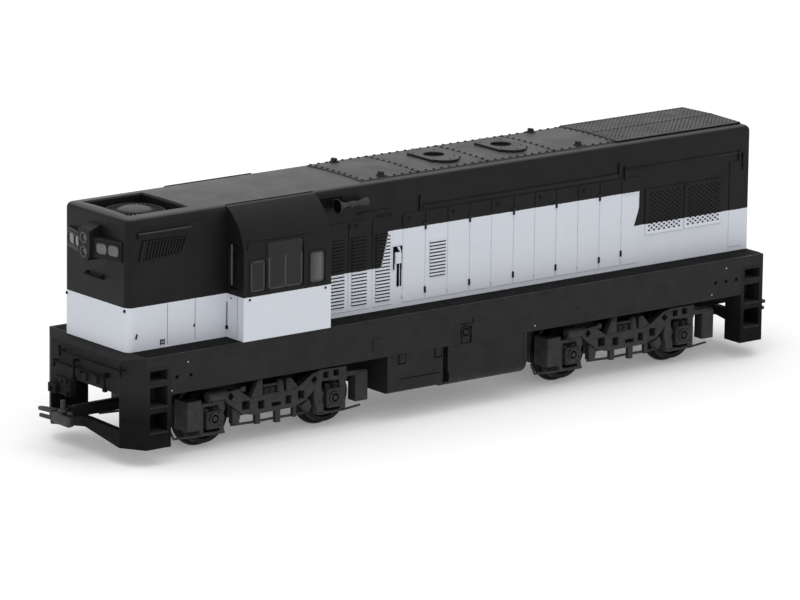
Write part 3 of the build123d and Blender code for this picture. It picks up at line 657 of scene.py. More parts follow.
class LOCO_OT_hood_doors(LocoOperator, bpy.types.Operator):
    """Adds the plain doors with their seams, hinges and latches"""
    bl_idname = "loco.hood_doors"
    bl_label = "Hood doors"

    seams = (-12.3, -6.5, -0.7, 5.0, 10.7, 16.5, 22.1, 27.8, 33.6, 39.4, 45.3, 50.2)
    corner_panel = (74.8, 78.9)
    latch_heights = (25.2, 38.4)
    # along and up: one more latch, low on the last door
    lone_latch = (45.3, 25.8)
    hinge_heights = (24.6, 33.0, 40.4)
    # a door's handle: how far along from the seam where the door latches, and up
    handle = (-4.1, 40.3)
    # along and up: the handles on the first louvred doors
    louvred_handles = ((-25.7, 40.5), (-24.1, 40.5))

    def execute(self, context):
        hood = context.scene.loco_hood
        relief, gap = hood.door_relief / MM, hood.door_gap / MM
        outside = HOOD_SIDE + relief
        doors = [proud("hood_doors", HOOD_SIDE, relief, (y0 + gap / 2, y1 - gap / 2), (DOOR_FOOT, DOOR_TOP))
                 for y0, y1 in (*zip(self.seams, self.seams[1:]), self.corner_panel)]
        on_sides("hood_doors", doors, satin_paint)
        meeting = self.seams[1:11:2]
        low, high = self.latch_heights
        bar = join("bars", proud("latch", outside, 0.2, (-0.24, 0.24), (-0.7, 0.6)),
                   round_bar("latch", (outside, 0, 0), (outside + 0.34, 0, 0), 0.17, 8))
        bars = copies(bar, [(0, y, z) for y in meeting for z in (low, high)] + [(0, *self.lone_latch)])
        head = proud("heads", outside, 0.26, (-0.55, 0.55), (high + 0.25, high + 0.75), 0.08)
        heads = copies(head, [(0, y, 0) for y in meeting])
        on_sides("hood_latches", (bars, heads), moulded_black)
        grip = round_bar("handle", (outside + 0.22, -0.4, 0.3), (outside + 0.22, 0.4, 0.3), 0.14, 8)
        handle = join("hood_handles", proud("handle", outside, 0.16, (-0.22, 0.22), (-0.4, 0.4)), grip)
        along, z = self.handle
        places = [(0, y + along, z) for y in meeting] + [(0, *place) for place in self.louvred_handles]
        finish(mirrored(copies(handle, places)), satin_paint)
        hinge = round_bar("hood_hinges", (outside, 0, -0.5), (outside, 0, 0.5), 0.13, 8)
        places = [(0, y, z) for y in self.seams[0:11:2] for z in self.hinge_heights]
        finish(mirrored(copies(hinge, places)), satin_paint)
        return {"FINISHED"}


def louvre(name, outside, y, z, relief, height=0.44):
    """A pressed louvre: flush at its top, with its lip standing out at the foot."""
    ob = block(name, (outside - 0.06, outside + relief), y, (z, z + height), 0.03)
    edit(ob, lambda centre, normal: normal.z > 0.9)
    bpy.ops.transform.translate(value=(-relief * 0.85 * MM, 0, 0))
    object_mode()
    return ob


class LOCO_OT_louvred_doors(LocoOperator, bpy.types.Operator):
    """Adds the three louvred doors behind the cab and the louvred bank on a plain door"""
    bl_idname = "loco.louvred_doors"
    bl_label = "Louvred doors"

    # front and rear edge of each door, and of its louvres
    doors = (((-31.9, -26.3), (-30.9, -27.2)), ((-26.1, -20.7), (-25.3, -21.5)),
             ((-20.0, -14.8), (-19.2, -15.6)))
    louvres_on_door = 20
    first_louvre = 24.4
    # front and rear edge, lowest louvre and count of the bank on a plain door
    bank = ((-5.3, -1.3), 27.8, 11)
    # front and rear edge, foot and head of the grip's rim and of its slots
    rim = (((-15.1, -14.85), (30.2, 35.2)), ((-12.4, -12.2), (30.2, 35.2)), ((-15.1, -12.2), (35.1, 35.35)))
    slots = (((-14.85, -12.4), (33.9, 35.1)), ((-14.85, -14.35), (30.3, 33.9)),
             ((-12.7, -12.4), (31.9, 33.9)), ((-13.7, -13.15), (26.7, 31.4)),
             ((-12.85, -12.55), (26.7, 31.7)))
    # the grip's lever, along and up, and the outline of the hook above it
    lever = ((-14.3, -12.75), (31.5, 33.8))
    hook = ((-13.9, 35.0), (-13.2, 35.0), (-12.75, 33.9), (-13.1, 33.9))
    # from a louvre's foot: the middle of the dark line under it, and the line's foot and head from there
    shadow_drop = 0.13
    shadow_foot, shadow_head = 0.09, 0.11
    # how far the lines stay clear of the black paint above and before them, and the shortest that is drawn
    shadow_margin = 0.2
    shortest_shadow = 0.3

    def execute(self, context):
        hood = context.scene.loco_hood
        relief, pitch, lip = hood.door_relief / MM, hood.louvre_pitch / MM, hood.louvre_relief / MM
        outside = HOOD_SIDE + relief
        panels = [proud("louvred_door", HOOD_SIDE, relief, panel, (DOOR_FOOT, DOOR_TOP))
                  for panel, _ in self.doors]
        on_sides("louvred_doors", panels, satin_paint)
        banks = [(bank, self.first_louvre, self.louvres_on_door) for _, bank in self.doors] + [self.bank]
        rows = [copies(louvre("louvre", outside, y, foot, lip), [(0, 0, i * pitch) for i in range(count)])
                for y, foot, count in banks]
        on_sides("hood_louvres", rows, satin_paint, angle=25)
        # painted shadow: each louvre's lip shades the door under it, drawn as a dark line on the white
        paint = context.scene.loco_paint
        band_top, band_front = paint.band_top / MM, paint.high_front / MM
        lines = []
        for (y0, y1), foot, count in banks:
            for i in range(count):
                z = foot + i * pitch - self.shadow_drop
                start = y0
                if z >= band_top - self.shadow_margin:
                    start = max(y0, band_front + BAND_LEAN * (z - band_top) + self.shadow_margin)
                if start < y1 - self.shortest_shadow:
                    lines.append(proud("line", outside, lip * 0.75, (start, y1),
                                       (z - self.shadow_foot, z + self.shadow_head), 0.01, sunk=0.05))
        on_sides("louvre_shadows", lines, deck_black)
        rim = [proud("grip", outside, 0.15, y, z, sunk=0.2) for y, z in self.rim]
        lever = proud("grip", outside, 0.4, *self.lever, 0.12, sunk=0.2)
        hook = plate("grip", self.hook, 0, outside - 0.1, outside + 0.25)
        on_sides("door_grip", (lever, hook, *rim), satin_paint)
        slots = [proud("slot", outside, 0.03, y, z, 0.02) for y, z in self.slots]
        on_sides("door_grip_slots", slots, shadow_black)
        return {"FINISHED"}


class LOCO_OT_hood_ledges(LocoOperator, bpy.types.Operator):
    """Adds the drip ledges high on the long hood, the posts at their ends and the dark intake by the horn"""
    bl_idname = "loco.hood_ledges"
    bl_label = "Hood ledges"

    # front and rear end, height, thickness and reach of each ledge
    ledges = ((-7.4, 44.3, 42.45, 0.8, 0.32), (46.6, 77.2, 43.4, 0.5, 0.3), (-23.8, -15.4, 43.0, 0.4, 0.3),
              (-18.6, -15.0, 41.9, 0.3, 0.25), (45.6, 49.8, 38.45, 0.25, 0.2), (45.6, 49.8, 38.1, 0.22, 0.3))
    # place along the hood, and foot and head of each post
    posts = ((-7.85, 41.6, 44.9), (44.6, 42.0, 45.0), (46.2, 41.2, 44.2), (77.5, 41.6, 43.8),
             (78.6, 39.4, 43.2))
    intake = ((-34.3, -27.6), (45.2, 47.2))
    intake_slats = 5

    def execute(self, context):
        parts = [proud("hood_ledge", HOOD_SIDE, reach, (y0, y1), about(z, thick / 2), 0.1, 2)
                 for y0, y1, z, thick, reach in self.ledges]
        parts += [proud("hood_post", HOOD_SIDE, 0.42, about(y, 0.26), (z0, z1), 0.1)
                  for y, z0, z1 in self.posts]
        (y0, y1), (z0, z1) = self.intake
        step = (z1 - z0) / self.intake_slats
        slat = proud("intake_slat", HOOD_SIDE, 0.16, (y0, y1), (z0, z0 + step * 0.35), 0.04)
        parts.append(copies(slat, [(0, 0, i * step) for i in range(self.intake_slats + 1)]))
        on_sides("hood_ledges", parts, satin_paint)
        back = proud("intake_backs", HOOD_SIDE, 0.05, (y0 + 0.1, y1 - 0.1), (z0, z1), 0.02)
        finish(mirrored(back), shadow_black)
        return {"FINISHED"}


class LOCO_OT_grilles(LocoOperator, bpy.types.Operator):
    """Adds the punched radiator grilles in the long hood's sides"""
    bl_idname = "loco.grilles"
    bl_label = "Radiator grilles"

    panels = ((51.9, 62.15), (62.55, 72.8))
    # rows are closer than columns by this share, because the holes are squashed
    row_share = 0.67
    # web between two holes, sheet, and the front end of the recess behind the sheets
    web = 0.04
    sheet = 0.16
    recess_front = 50.6

    def execute(self, context):
        pitch = context.scene.loco_hood.grille_pitch / MM
        low, high = (corner.z for corner in span("side_radiators"))
        made, backs = [], []
        for y0, y1 in self.panels:
            columns = round((y1 - y0) / pitch)
            rows = round((high - low) / pitch / self.row_share)
            deselect()
            bpy.ops.mesh.primitive_grid_add(
                x_subdivisions=rows, y_subdivisions=columns, size=1, rotation=(0, math.pi / 2, 0),
                location=Vector((HOOD_SIDE + 0.2, (y0 + y1) / 2, (low + high) / 2)) * MM)
            bpy.context.object.scale = ((high - low) * MM, (y1 - y0) * MM, 1)
            sheet = settle("radiator_grille")

            def is_hole(centre, normal, y0=y0, width=(y1 - y0) / columns, height=(high - low) / rows):
                """Every second square inside the sheet's border."""
                column, row = int((centre.y - y0) / width), int((centre.z - low) / height)
                return (column + row) % 2 == 0 and 0 < row < rows - 1 and 0 < column < columns - 1

            edit(sheet, is_hole)
            bpy.ops.mesh.inset(thickness=self.web * MM, use_individual=True)
            bpy.ops.mesh.delete(type="FACE")
            bpy.ops.mesh.select_all(action="SELECT")
            bpy.ops.mesh.normals_make_consistent(inside=False)
            object_mode()
            only(sheet)
            sheet.modifiers.new("thickness", "SOLIDIFY").thickness = self.sheet * MM
            bpy.ops.object.modifier_apply(modifier="thickness")
            made.append(sheet)
            rim = (HOOD_SIDE - 0.3, HOOD_SIDE + 0.26)
            made += [block("grille_rim", rim, about(y, 0.12), (low - 0.2, high + 0.2)) for y in (y0, y1)]
            made += [block("grille_rim", rim, (y0, y1), about(z, 0.2)) for z in (low, high)]
            backs.append(proud("grille_backs", HOOD_SIDE, 0.02, (y0, y1), (low, high), 0.02, sunk=0.3))
        # closes what the recess in the hood leaves open in front of the first sheet
        made.append(proud("grille_rim", HOOD_SIDE, 0.015, (self.recess_front, self.panels[0][0]),
                          (low - 0.4, high + 0.4), 0.005, sunk=0.3))
        on_sides("radiator_grilles", made, satin_paint, angle=20)
        on_sides("grille_backs", backs, moulded_black)
        return {"FINISHED"}


class LOCO_OT_roof_plates(LocoOperator, bpy.types.Operator):
    """Adds the roof hatches' bolts and the lifting lugs"""
    bl_idname = "loco.roof_plates"
    bl_label = "Roof hatch bolts"

    seams = (-21.4, -7.1, 11.0, 28.5, 45.0)
    # from a seam to the row of bolts behind it, and from the last seam to the row before it
    row_gap, last_row_gap = 0.45, 0.55
    # from the middle to the rows along the edges
    edge = 8.6
    plate_thickness = 0.25
    lugs = (-15.6, 36.0)
    lug_x = 7.8

    def execute(self, context):
        roof = context.scene.loco_roof
        pitch, radius = roof.bolt_pitch / MM, roof.bolt_radius / MM
        places = []
        for y in self.seams:
            count = round(2 * self.edge / pitch)
            row = y + self.row_gap if y != self.seams[-1] else y - self.last_row_gap
            places += [(-self.edge + 2 * self.edge * i / count, row) for i in range(count + 1)]
        for y0, y1 in zip(self.seams, self.seams[1:]):
            count = round((y1 - y0) / pitch)
            places += [(x, y0 + self.row_gap + (y1 - y0) * i / count) for x in (-self.edge, self.edge)
                       for i in range(1, count)]
        bolt = round_bar("roof_bolts", (0, 0, -0.1), (0, 0, 0.2), radius, 8, 0.08)
        bolts = copies(bolt, [(x, y, roof_at(x) + self.plate_thickness) for x, y in places])
        finish(bolts, moulded_black)
        # dark joints between the hatches
        joints = [block("hatch_joints", (-9.0, 9.0), about(y, 0.12), (ROOF_TOP - 0.5, ROOF_TOP + 0.12), 0.02)
                  for y in self.seams[1:]]
        finish(join("hatch_joints", *joints), shadow_black)
        lug = join("lifting_lugs", block("lug", (-0.65, 0.65), (-0.45, 0.45), (0, 0.95), 0.12),
                   block("lug", (-0.9, 0.9), (-0.7, 0.7), (0, 0.3), 0.1))
        spots = [(side * self.lug_x, y, roof_at(self.lug_x) + self.plate_thickness - 0.05)
                 for y in self.lugs for side in SIDES]
        finish(copies(lug, spots), moulded_black)
        return {"FINISHED"}


class LOCO_OT_roof_radiators(LocoOperator, bpy.types.Operator):
    """Adds the slanted ribs over the roof radiators, with their rims and middle bar"""
    bl_idname = "loco.roof_radiators"
    bl_label = "Roof radiator ribs"

    # how far along a rib runs from the edge to the middle
    slant = 8.4
    # over the roof's top: what the ribs stand on, and their tops
    seat_height = 0.3
    rib_height = 0.46
    rim_width = 0.5

    def execute(self, context):
        roof = context.scene.loco_roof
        low, high = span("roof_radiators")
        pitch, width = roof.rib_pitch / MM, roof.rib_width / MM
        reach = high.x - self.rim_width
        front, rear = low.y + self.rim_width, high.y - self.rim_width
        foot, head = ROOF_TOP + self.seat_height - 0.4, ROOF_TOP + self.rib_height
        banks = []
        # the near side's ribs run back towards the middle, and so do the far side's towards the edge
        for outer, inner in ((reach, 0.3), (-0.3, -reach)):
            outline = [(outer, front), (inner, front + self.slant), (inner, front + self.slant + width),
                       (outer, front + width)]
            rib = plate("roof_ribs", outline, 2, foot, head, bevel=0.06)
            count = int((rear - front + self.slant) / pitch)
            rows = copies(rib, [(0, i * pitch - self.slant, 0) for i in range(count)])
            for y, facing in ((front, -1), (rear, 1)):
                edit(rows)
                bpy.ops.mesh.bisect(plane_co=Vector((0, y, 0)) * MM, plane_no=(0, facing, 0), use_fill=True,
                                    clear_outer=True)
                object_mode()
            banks.append(rows)
        rows = join("roof_ribs", *banks)
        for vertex in rows.data.vertices:
            vertex.co.z -= ROOF_CAMBER * (vertex.co.x / MM / HOOD_SIDE) ** 2 * MM
        finish(rows, roof_plastic)
        rims = [block("rims", (-0.3, 0.3), (low.y, high.y), (foot, head + 0.05))]
        rims += [block("rims", sorted((side * reach, side * (reach + self.rim_width))), (low.y, high.y),
                       (roof_at(reach) - 0.1, roof_at(reach) + self.rib_height + 0.02)) for side in SIDES]
        arch = [(x, roof_at(x) - 0.1) for x in (-reach, 0, reach)]
        arch += [(x, roof_at(x) + self.rib_height) for x in (reach, 0, -reach)]
        rims += [plate("rims", arch, 1, y, y + self.rim_width) for y in (low.y, rear)]
        finish(join("roof_radiator_rims", *rims), roof_plastic)
        return {"FINISHED"}


class LOCO_OT_exhausts(LocoOperator, bpy.types.Operator):
    """Adds the exhausts' dark bores, thin lips and flange bolts"""
    bl_idname = "loco.exhausts"
    bl_label = "Exhaust bores"

    places = (4.1, 21.7)
    bore = 2.2
    # across and along from an exhaust's middle
    bolts = ((3.4, 2.7), (3.4, -2.7), (-3.4, 2.7), (-3.4, -2.7), (5.4, 0), (-5.4, 0))

    def execute(self, context):
        top = span("exhausts")[1].z
        lips = [hoop("lip", (0, y, top - 0.02), self.bore + 0.1, 0.1) for y in self.places]
        bolt = round_bar("bolt", (0, 0, top - 0.1), (0, 0, top + 0.14), 0.24, 6)
        bolts = copies(bolt, [(x, y + along, 0) for y in self.places for x, along in self.bolts])
        finish(join("exhaust_lips", *lips, bolts), roof_plastic)
        bores = [round_bar("bore", (0, y, top - 0.5), (0, y, top - 0.3), self.bore - 0.02, 32, 0.02)
                 for y in self.places]
        finish(join("exhaust_bores", *bores), shadow_black)
        return {"FINISHED"}


class LOCO_OT_fan(LocoOperator, bpy.types.Operator):
    """Adds the domed fan in the short hood's roof with its ring of vanes"""
    bl_idname = "loco.fan"
    bl_label = "Roof fan"

    # radius and height
    dome = (3.3, 0.7)
    # half the well's length across and along
    well = (7.85, 7.25)
    # from the roof's top down to the foot of the dome
    depth = 1.25

    def execute(self, context):
        low, high = span("roof_fan")
        y, floor = (low.y + high.y) / 2, low.z
        top = ROOF_TOP - self.depth
        radius = (high.x - low.x) / 2
        dome_radius, dome_height = self.dome
        deselect()
        bpy.ops.mesh.primitive_uv_sphere_add(segments=48, ring_count=24, radius=MM,
                                             location=Vector((0, y, top)) * MM)
        bpy.context.object.scale = (dome_radius, dome_radius, dome_height)
        dome = settle("fan_dome")
        edit(dome, lambda centre, normal: centre.z < top - 0.05)
        bpy.ops.mesh.delete(type="FACE")
        object_mode()
        only(dome)
        dome.modifiers.new("thickness", "SOLIDIFY").thickness = 0.2 * MM
        bpy.ops.object.modifier_apply(modifier="thickness")
        finish(dome, roof_plastic, angle=60)
        rings = [hoop("ring", (0, y, top - 0.3), radius - 0.35, 0.32, segments=56, rings=10),
                 hoop("ring", (0, y, top - 0.05), dome_radius + 0.05, 0.2, segments=48)]
        vane = block("vane", (dome_radius, radius - 0.3), (-0.13, 0.13), (top - 1.5, top + 0.05), 0.04)
        centre = Matrix.Translation((0, y * MM, 0))
        count = context.scene.loco_roof.fan_vanes
        vanes = [twin(vane, centre @ Matrix.Rotation(math.tau * i / count, 4, "Z")) for i in range(count)]
        bpy.data.objects.remove(vane)
        guard = finish(join("fan_guard", *rings, *vanes), moulded_black)
        across, along = self.well
        well = block("fan_well", (-across, across), about(y, along), (floor - 0.05, floor + 0.12), 0.03)
        finish(well, shadow_black)
        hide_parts("roof_fan")
        return {"FINISHED"}


class LOCO_OT_short_hood(LocoOperator, bpy.types.Operator):
    """Adds the short hood's slatted vents, seams, latches and rain ledges"""
    bl_idname = "loco.short_hood"
    bl_label = "Short hood fittings"

    # corners of the leaning vent: along and up
    vent = ((-77.9, 40.2), (-67.2, 40.9), (-65.9, 44.0), (-76.9, 44.4))
    # the vent's opening as a share of its rim
    opening = 0.86
    slats = 12
    half_slat = 0.24
    ledge = (-78.1, -65.6)
    seams = (-70.85, -64.1)
    # along and up: a small catch, and the middle of the H-shaped latch
    catch = (-64.35, 25.7)
    latch = (-72.1, 23.4)
    # along and up at the foot and the head of the leaning hinge at the corner
    leaning = ((-78.55, 24.8), (-78.25, 25.8))
    # across and up: one end of the grab iron on each end wall, and one of the two studs
    grab = (2.6, 36.0)
    studs = (9.8, 30.5)

    def execute(self, context):
        corners = [Vector(corner) for corner in self.vent]
        middle = sum(corners, Vector((0, 0))) / 4
        inner = [middle + (corner - middle) * self.opening for corner in corners]
        rim = plate("vent", corners, 0, HOOD_SIDE - 0.1, HOOD_SIDE + 0.36)
        cut(rim, plate("vent", inner, 0, HOOD_SIDE - 1, HOOD_SIDE + 1, bevel=0))
        bottom_left, bottom_right, top_right, top_left = inner
        blades = []
        for i in range(self.slats):
            share = (i + 0.5) / self.slats
            foot, head = bottom_left.lerp(bottom_right, share), top_left.lerp(top_right, share)
            outline = [(foot.x - self.half_slat, foot.y), (foot.x + self.half_slat, foot.y),
                       (head.x + self.half_slat, head.y), (head.x - self.half_slat, head.y)]
            blades.append(plate("vent", outline, 0, HOOD_SIDE - 0.05, HOOD_SIDE + 0.26))
        vents = on_sides("hood_vents", (rim, *blades), satin_paint)
        back = plate("vent_backs", inner, 0, HOOD_SIDE - 0.1, HOOD_SIDE + 0.04, bevel=0.01)
        finish(mirrored(back), deck_black)
        ledge = proud("ledge", HOOD_SIDE, 0.9, self.ledge, (45.6, 45.95), 0.12, 2)
        # a grey plate on each ledge's top: a painted highlight where the ledge catches the light
        ledge_highlight = block("ledge_tops", (HOOD_SIDE, HOOD_SIDE + 0.8), self.ledge, (45.9, 46.0), 0.03)
        finish(mirrored(ledge_highlight), roof_plastic)
        hook = proud("ledge", HOOD_SIDE, 0.45, (self.ledge[0] - 0.1, self.ledge[0] + 0.3),
                     (44.9, 45.9), 0.1)
        crease = proud("ledge", HOOD_SIDE, 0.08, (-77.0, CAB_FRONT), (46.9, 47.1), 0.04, sunk=0.3)
        on_sides("rain_ledges", (ledge, hook, crease), satin_paint)
        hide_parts("side_vents")
        seams = [proud("seam", HOOD_SIDE, 0.02, about(y, 0.045), (DECK_TOP + 0.6, 31.0), 0.01, sunk=0.05)
                 for y in self.seams]
        on_sides("hood_seams", seams, shadow_black)
        y, z = self.catch
        catches = [proud("catch", HOOD_SIDE, 0.14, about(y, 0.16), about(z, 0.3), sunk=0.05)]
        y, z = self.latch
        catches += [proud("catch", HOOD_SIDE, 0.16, about(y + aside, 0.11), about(z, 0.6), sunk=0.05)
                    for aside in (-0.42, 0.42)]
        catches += [ball("catch", (HOOD_SIDE, y, z + up), 0.22, (0.8, 1, 1)) for up in (-0.3, 0.3)]
        catches.append(round_bar("catch", *((HOOD_SIDE + 0.08, y, z) for y, z in self.leaning), 0.2, 8))
        on_sides("hood_catches", catches, moulded_black)
        x, z = self.grab
        wall, out = -HOOD_END, -HOOD_END - 0.7
        grab = wire("iron", [(-x, wall, z), (-x, out, z), (x, out, z), (x, wall, z)], 0.28)
        feet = [block("iron", about(side * x, 0.35), (wall - 0.2, wall + 0.1), about(z, 0.5))
                for side in SIDES]
        stud = copies(ball("iron", (0, wall, self.studs[1]), 0.34, (1, 0.7, 1)),
                      [(side * self.studs[0], 0, 0) for side in SIDES])
        on_ends("end_irons", (grab, stud, *feet), deck_black)
        return {"FINISHED"}


class LOCO_OT_cab(LocoOperator, bpy.types.Operator):
    """Adds the cab's window frames, gutters, roof seams, door lines and bolts"""
    bl_idname = "loco.cab"
    bl_label = "Cab fittings"

    # front and rear edge, foot and head of each side window
    windows = ((-54.7, -51.0, 32.0, 38.3), (-50.4, -41.6, 32.0, 41.6), (-39.9, -36.3, 32.0, 38.3))
    # how high the middle window's sliding sashes reach, and where their bars stand from its edges
    sash_top = 38.6
    sash_inset = 0.4
    # heads of the raised strips at the inner and the outer edge of an end window
    end_frame_heads = (39.6, 38.8)
    end_hinges = (24.6, 29.6)
    # inner and outer edge, foot and head of the end walls' windows
    end_window = (12.0, 14.6, 32.4, 41.6)
    eyebrow = ((-55.3, 40.9), (-54.9, 41.9), (-54.2, 42.4), (-37.7, 42.5))
    roof_seam = 10.3
    sliding_bar = -46.0
    dots = ((-54.9, 30.6), (-36.1, 30.6))

    def strip(self, y0, y1, z0, z1, relief, steps=7):
        """An upright strip that follows the cab's curved side."""
        heights = [z0 + (z1 - z0) * i / steps for i in range(steps + 1)]
        beside = (y0 + y1) / 2
        sides = [(seat("cab", beside, z), z) for z in heights]
        outline = [(x + relief, z) for x, z in sides] + [(x - 0.3, z) for x, z in reversed(sides)]
        return plate("window_frame", outline, 1, y0, y1, bevel=0.04)

    def execute(self, context):
        cab = context.scene.loco_cab
        width, relief = cab.frame_width / MM, cab.frame_relief / MM
        parts = []
        for y0, y1, z0, z1 in self.windows:
            parts += [self.strip(y0 - width, y0 - 0.02, z0 - width, z1 + width, relief),
                      self.strip(y1 + 0.02, y1 + width, z0 - width, z1 + width, relief)]
            for z in (z0 - width, z1 + 0.02):
                x = seat("cab", y0, z + width / 2)
                parts.append(proud("window_frame", x, relief, (y0 - 0.1, y1 + 0.1),
                                   (z, z + width - 0.02), 0.04, sunk=0.3))
        on_sides("cab_window_frames", parts, satin_paint)
        # sash bars inside the openings, a little paler than the frames
        y0, y1, z0, z1 = self.windows[1]
        x = span("cab_windows")[1].x
        bars = [(about(y, 0.2), (z0, self.sash_top))
                for y in (self.sliding_bar, y0 + self.sash_inset, y1 - self.sash_inset)]
        bars.append(((y0, y1), (z0, z0 + 0.4)))
        for y0, y1, z0, z1 in (self.windows[0], self.windows[2]):
            bars += [(about(y, 0.18), (z0, z1)) for y in (y0 + 0.3, y1 - 0.3)]
            bars += [((y0, y1), about(z, 0.18)) for z in (z0 + 0.2, z1 - 0.2)]
        sash = [proud("sash", x, 0.1, y, z, 0.04, sunk=0.2) for y, z in bars]
        on_sides("cab_sashes", sash, roof_plastic)
        points = [(seat("cab", y, z) + 0.12, y, z) for y, z in self.eyebrow]
        finish(mirrored(wire("cab_gutters", points, 0.2)), satin_paint)
        self.roof()
        self.end_walls(width, relief)
        dot = ball("cab_dots", (CAB_SIDE, 0, 0), 0.28, (0.6, 1, 1))
        finish(mirrored(copies(dot, [(0, y, z) for y, z in self.dots])), moulded_black)
        return {"FINISHED"}

    def roof(self):
        """The two seams along the cab's roof."""
        top = roof_at(self.roof_seam)
        seams = [block("seam", about(side * self.roof_seam, 0.14), (CAB_FRONT + 0.1, CAB_REAR - 0.1),
                       (top - 0.9, top + 0.1), 0.02) for side in SIDES]
        finish(join("cab_roof_seams", *seams), deck_black)

    def end_walls(self, width, relief):
        """Window frames, door lines and hinges on the cab's front and rear walls."""
        x0, x1, z0, z1 = self.end_window
        inner_head, outer_head = self.end_frame_heads
        strips = (((x0 - width, x0 - 0.02), (z0 - width, inner_head)),
                  ((x1 + 0.02, x1 + width * 0.8), (z0 - width, outer_head)),
                  ((x0, x1), (z0 - width, z0 - 0.02)))
        for name, wall, facing in (("front", CAB_FRONT, -1), ("rear", CAB_REAR, 1)):
            def deep(inward, outward):
                """From a depth in the wall to a height over it, along."""
                return sorted((wall - facing * inward, wall + facing * outward))

            frames = [block("end_frame", x, deep(0.2, relief), z, 0.04) for x, z in strips]
            # a pale strip on the inner edge of the glazing: a painted highlight where it catches the light
            edge = block("glazing_edge", (x0 + 0.05, x0 + 0.5), deep(0.3, -0.1), (z0 + 0.6, z1 - 0.3), 0.05)
            finish(mirrored(edge), board_styrene, slot="window_plastic").name = "glazing_edges_" + name
            hinge = round_bar("end_frame", (x0 - 0.2, wall, -0.6), (x0 - 0.2, wall, 0.6), 0.16, 8)
            frames.append(copies(hinge, [(0, 0, z) for z in self.end_hinges]))
            on_sides("cab_door_frames_" + name, frames, satin_paint)
            line = deep(0.05, 0.02)
            lines = [block("door_line", (HOOD_SIDE, HOOD_SIDE + 0.3), line, (24.2, 29.4), 0.01),
                     block("door_line", (HOOD_SIDE, HOOD_SIDE + 0.6), deep(0, 0.3), (23.9, 24.6), 0.05),
                     ball("door_line", (12.4, wall, 30.4), 0.2, (1, 0.6, 1)),
                     block("door_line", (x1 - 0.16, x1 - 0.08), line, (DECK_TOP + 0.5, z0 - width), 0.01)]
            on_sides("cab_door_lines_" + name, lines, shadow_black)


class LOCO_OT_end_lamps(LocoOperator, bpy.types.Operator):
    """Adds the lamps' bezels and the rims and middle bars of the number boards"""
    bl_idname = "loco.end_lamps"
    bl_label = "Lamps and number boards"

    lamp_heights = (41.1, 43.9)
    # inner and outer edge, foot and head of a board, and the box's reach at each edge
    board = (2.7, 8.5, 41.1, 43.3)
    reaches = (1.81, 0.46)

    def execute(self, context):
        face = -HOOD_END
        front = span("lamp_housing_front")[0].y
        bezels = [hoop("bezel", (0, front, z), 1.0, 0.22, axis=1) for z in self.lamp_heights]
        cap = block("bezel", (-1.95, 1.95), (front - 0.12, front + 0.8), (45.25, 45.55), 0.1)
        on_ends("lamp_bezels", bezels, roof_plastic)
        on_ends("lamp_caps", (cap,), satin_paint)
        bulb = ball("lamp_bulbs", (0, front + 0.42, 0), 0.36, (1, 0.5, 1))
        bulb = copies(bulb, [(0, 0, z) for z in self.lamp_heights])
        finish(both_ends(bulb), board_styrene, slot="lamp_plastic")
        x0, x1, z0, z1 = self.board
        y0, y1 = (face - reach for reach in self.reaches)
        slope = (y1 - y0) / (x1 - x0)
        middle = (x0 + x1) / 2
        rim = block("board_rim", (x0 - 0.35, x1 + 0.35), (-0.14, 0.35), (z0 - 0.35, z1 + 0.35), 0.05)
        panes = [block("pane", pane, (-1, 1), (z0, z1), 0.75, 4)
                 for pane in ((x0, middle - 0.1), (middle + 0.1, x1))]
        rim = cut(rim, *panes)
        for vertex in rim.data.vertices:
            vertex.co.y += (y0 + (vertex.co.x / MM - x0) * slope) * MM
        finish(both_ends(mirrored(join("number_board_rims", rim))), satin_paint)
        return {"FINISHED"}


class LOCO_OT_horn(LocoOperator, bpy.types.Operator):
    """Adds the horn's flared lips, dark mouths and bracket"""
    bl_idname = "loco.horn"
    bl_label = "Horn"

    axis = (12.5, 45.7)
    # where each bell's mouth stands, which way it faces and its radius
    mouths = ((-30.2, -1, 1.5), (-22.8, 1, 0.95))

    def execute(self, context):
        x, z = self.axis
        lips = [hoop("lip", (x, y, z), radius - 0.06, 0.1, axis=1) for y, facing, radius in self.mouths]
        lips.append(block("lip", (HOOD_SIDE - 0.3, x), (-26.9, -26.1), (z - 0.9, z - 0.3), 0.1))
        lips.append(round_bar("lip", (x, -27.2, z), (x, -25.4, z), 0.62, 12, 0.12))
        finish(join("horn_lips", *lips), bogie_black)
        mouths = [round_bar("mouth", (x, y + facing * 0.02, z), (x, y - facing * 0.1, z), radius - 0.12, 24,
                            0.01) for y, facing, radius in self.mouths]
        finish(join("horn_mouths", *mouths), shadow_black)
        return {"FINISHED"}


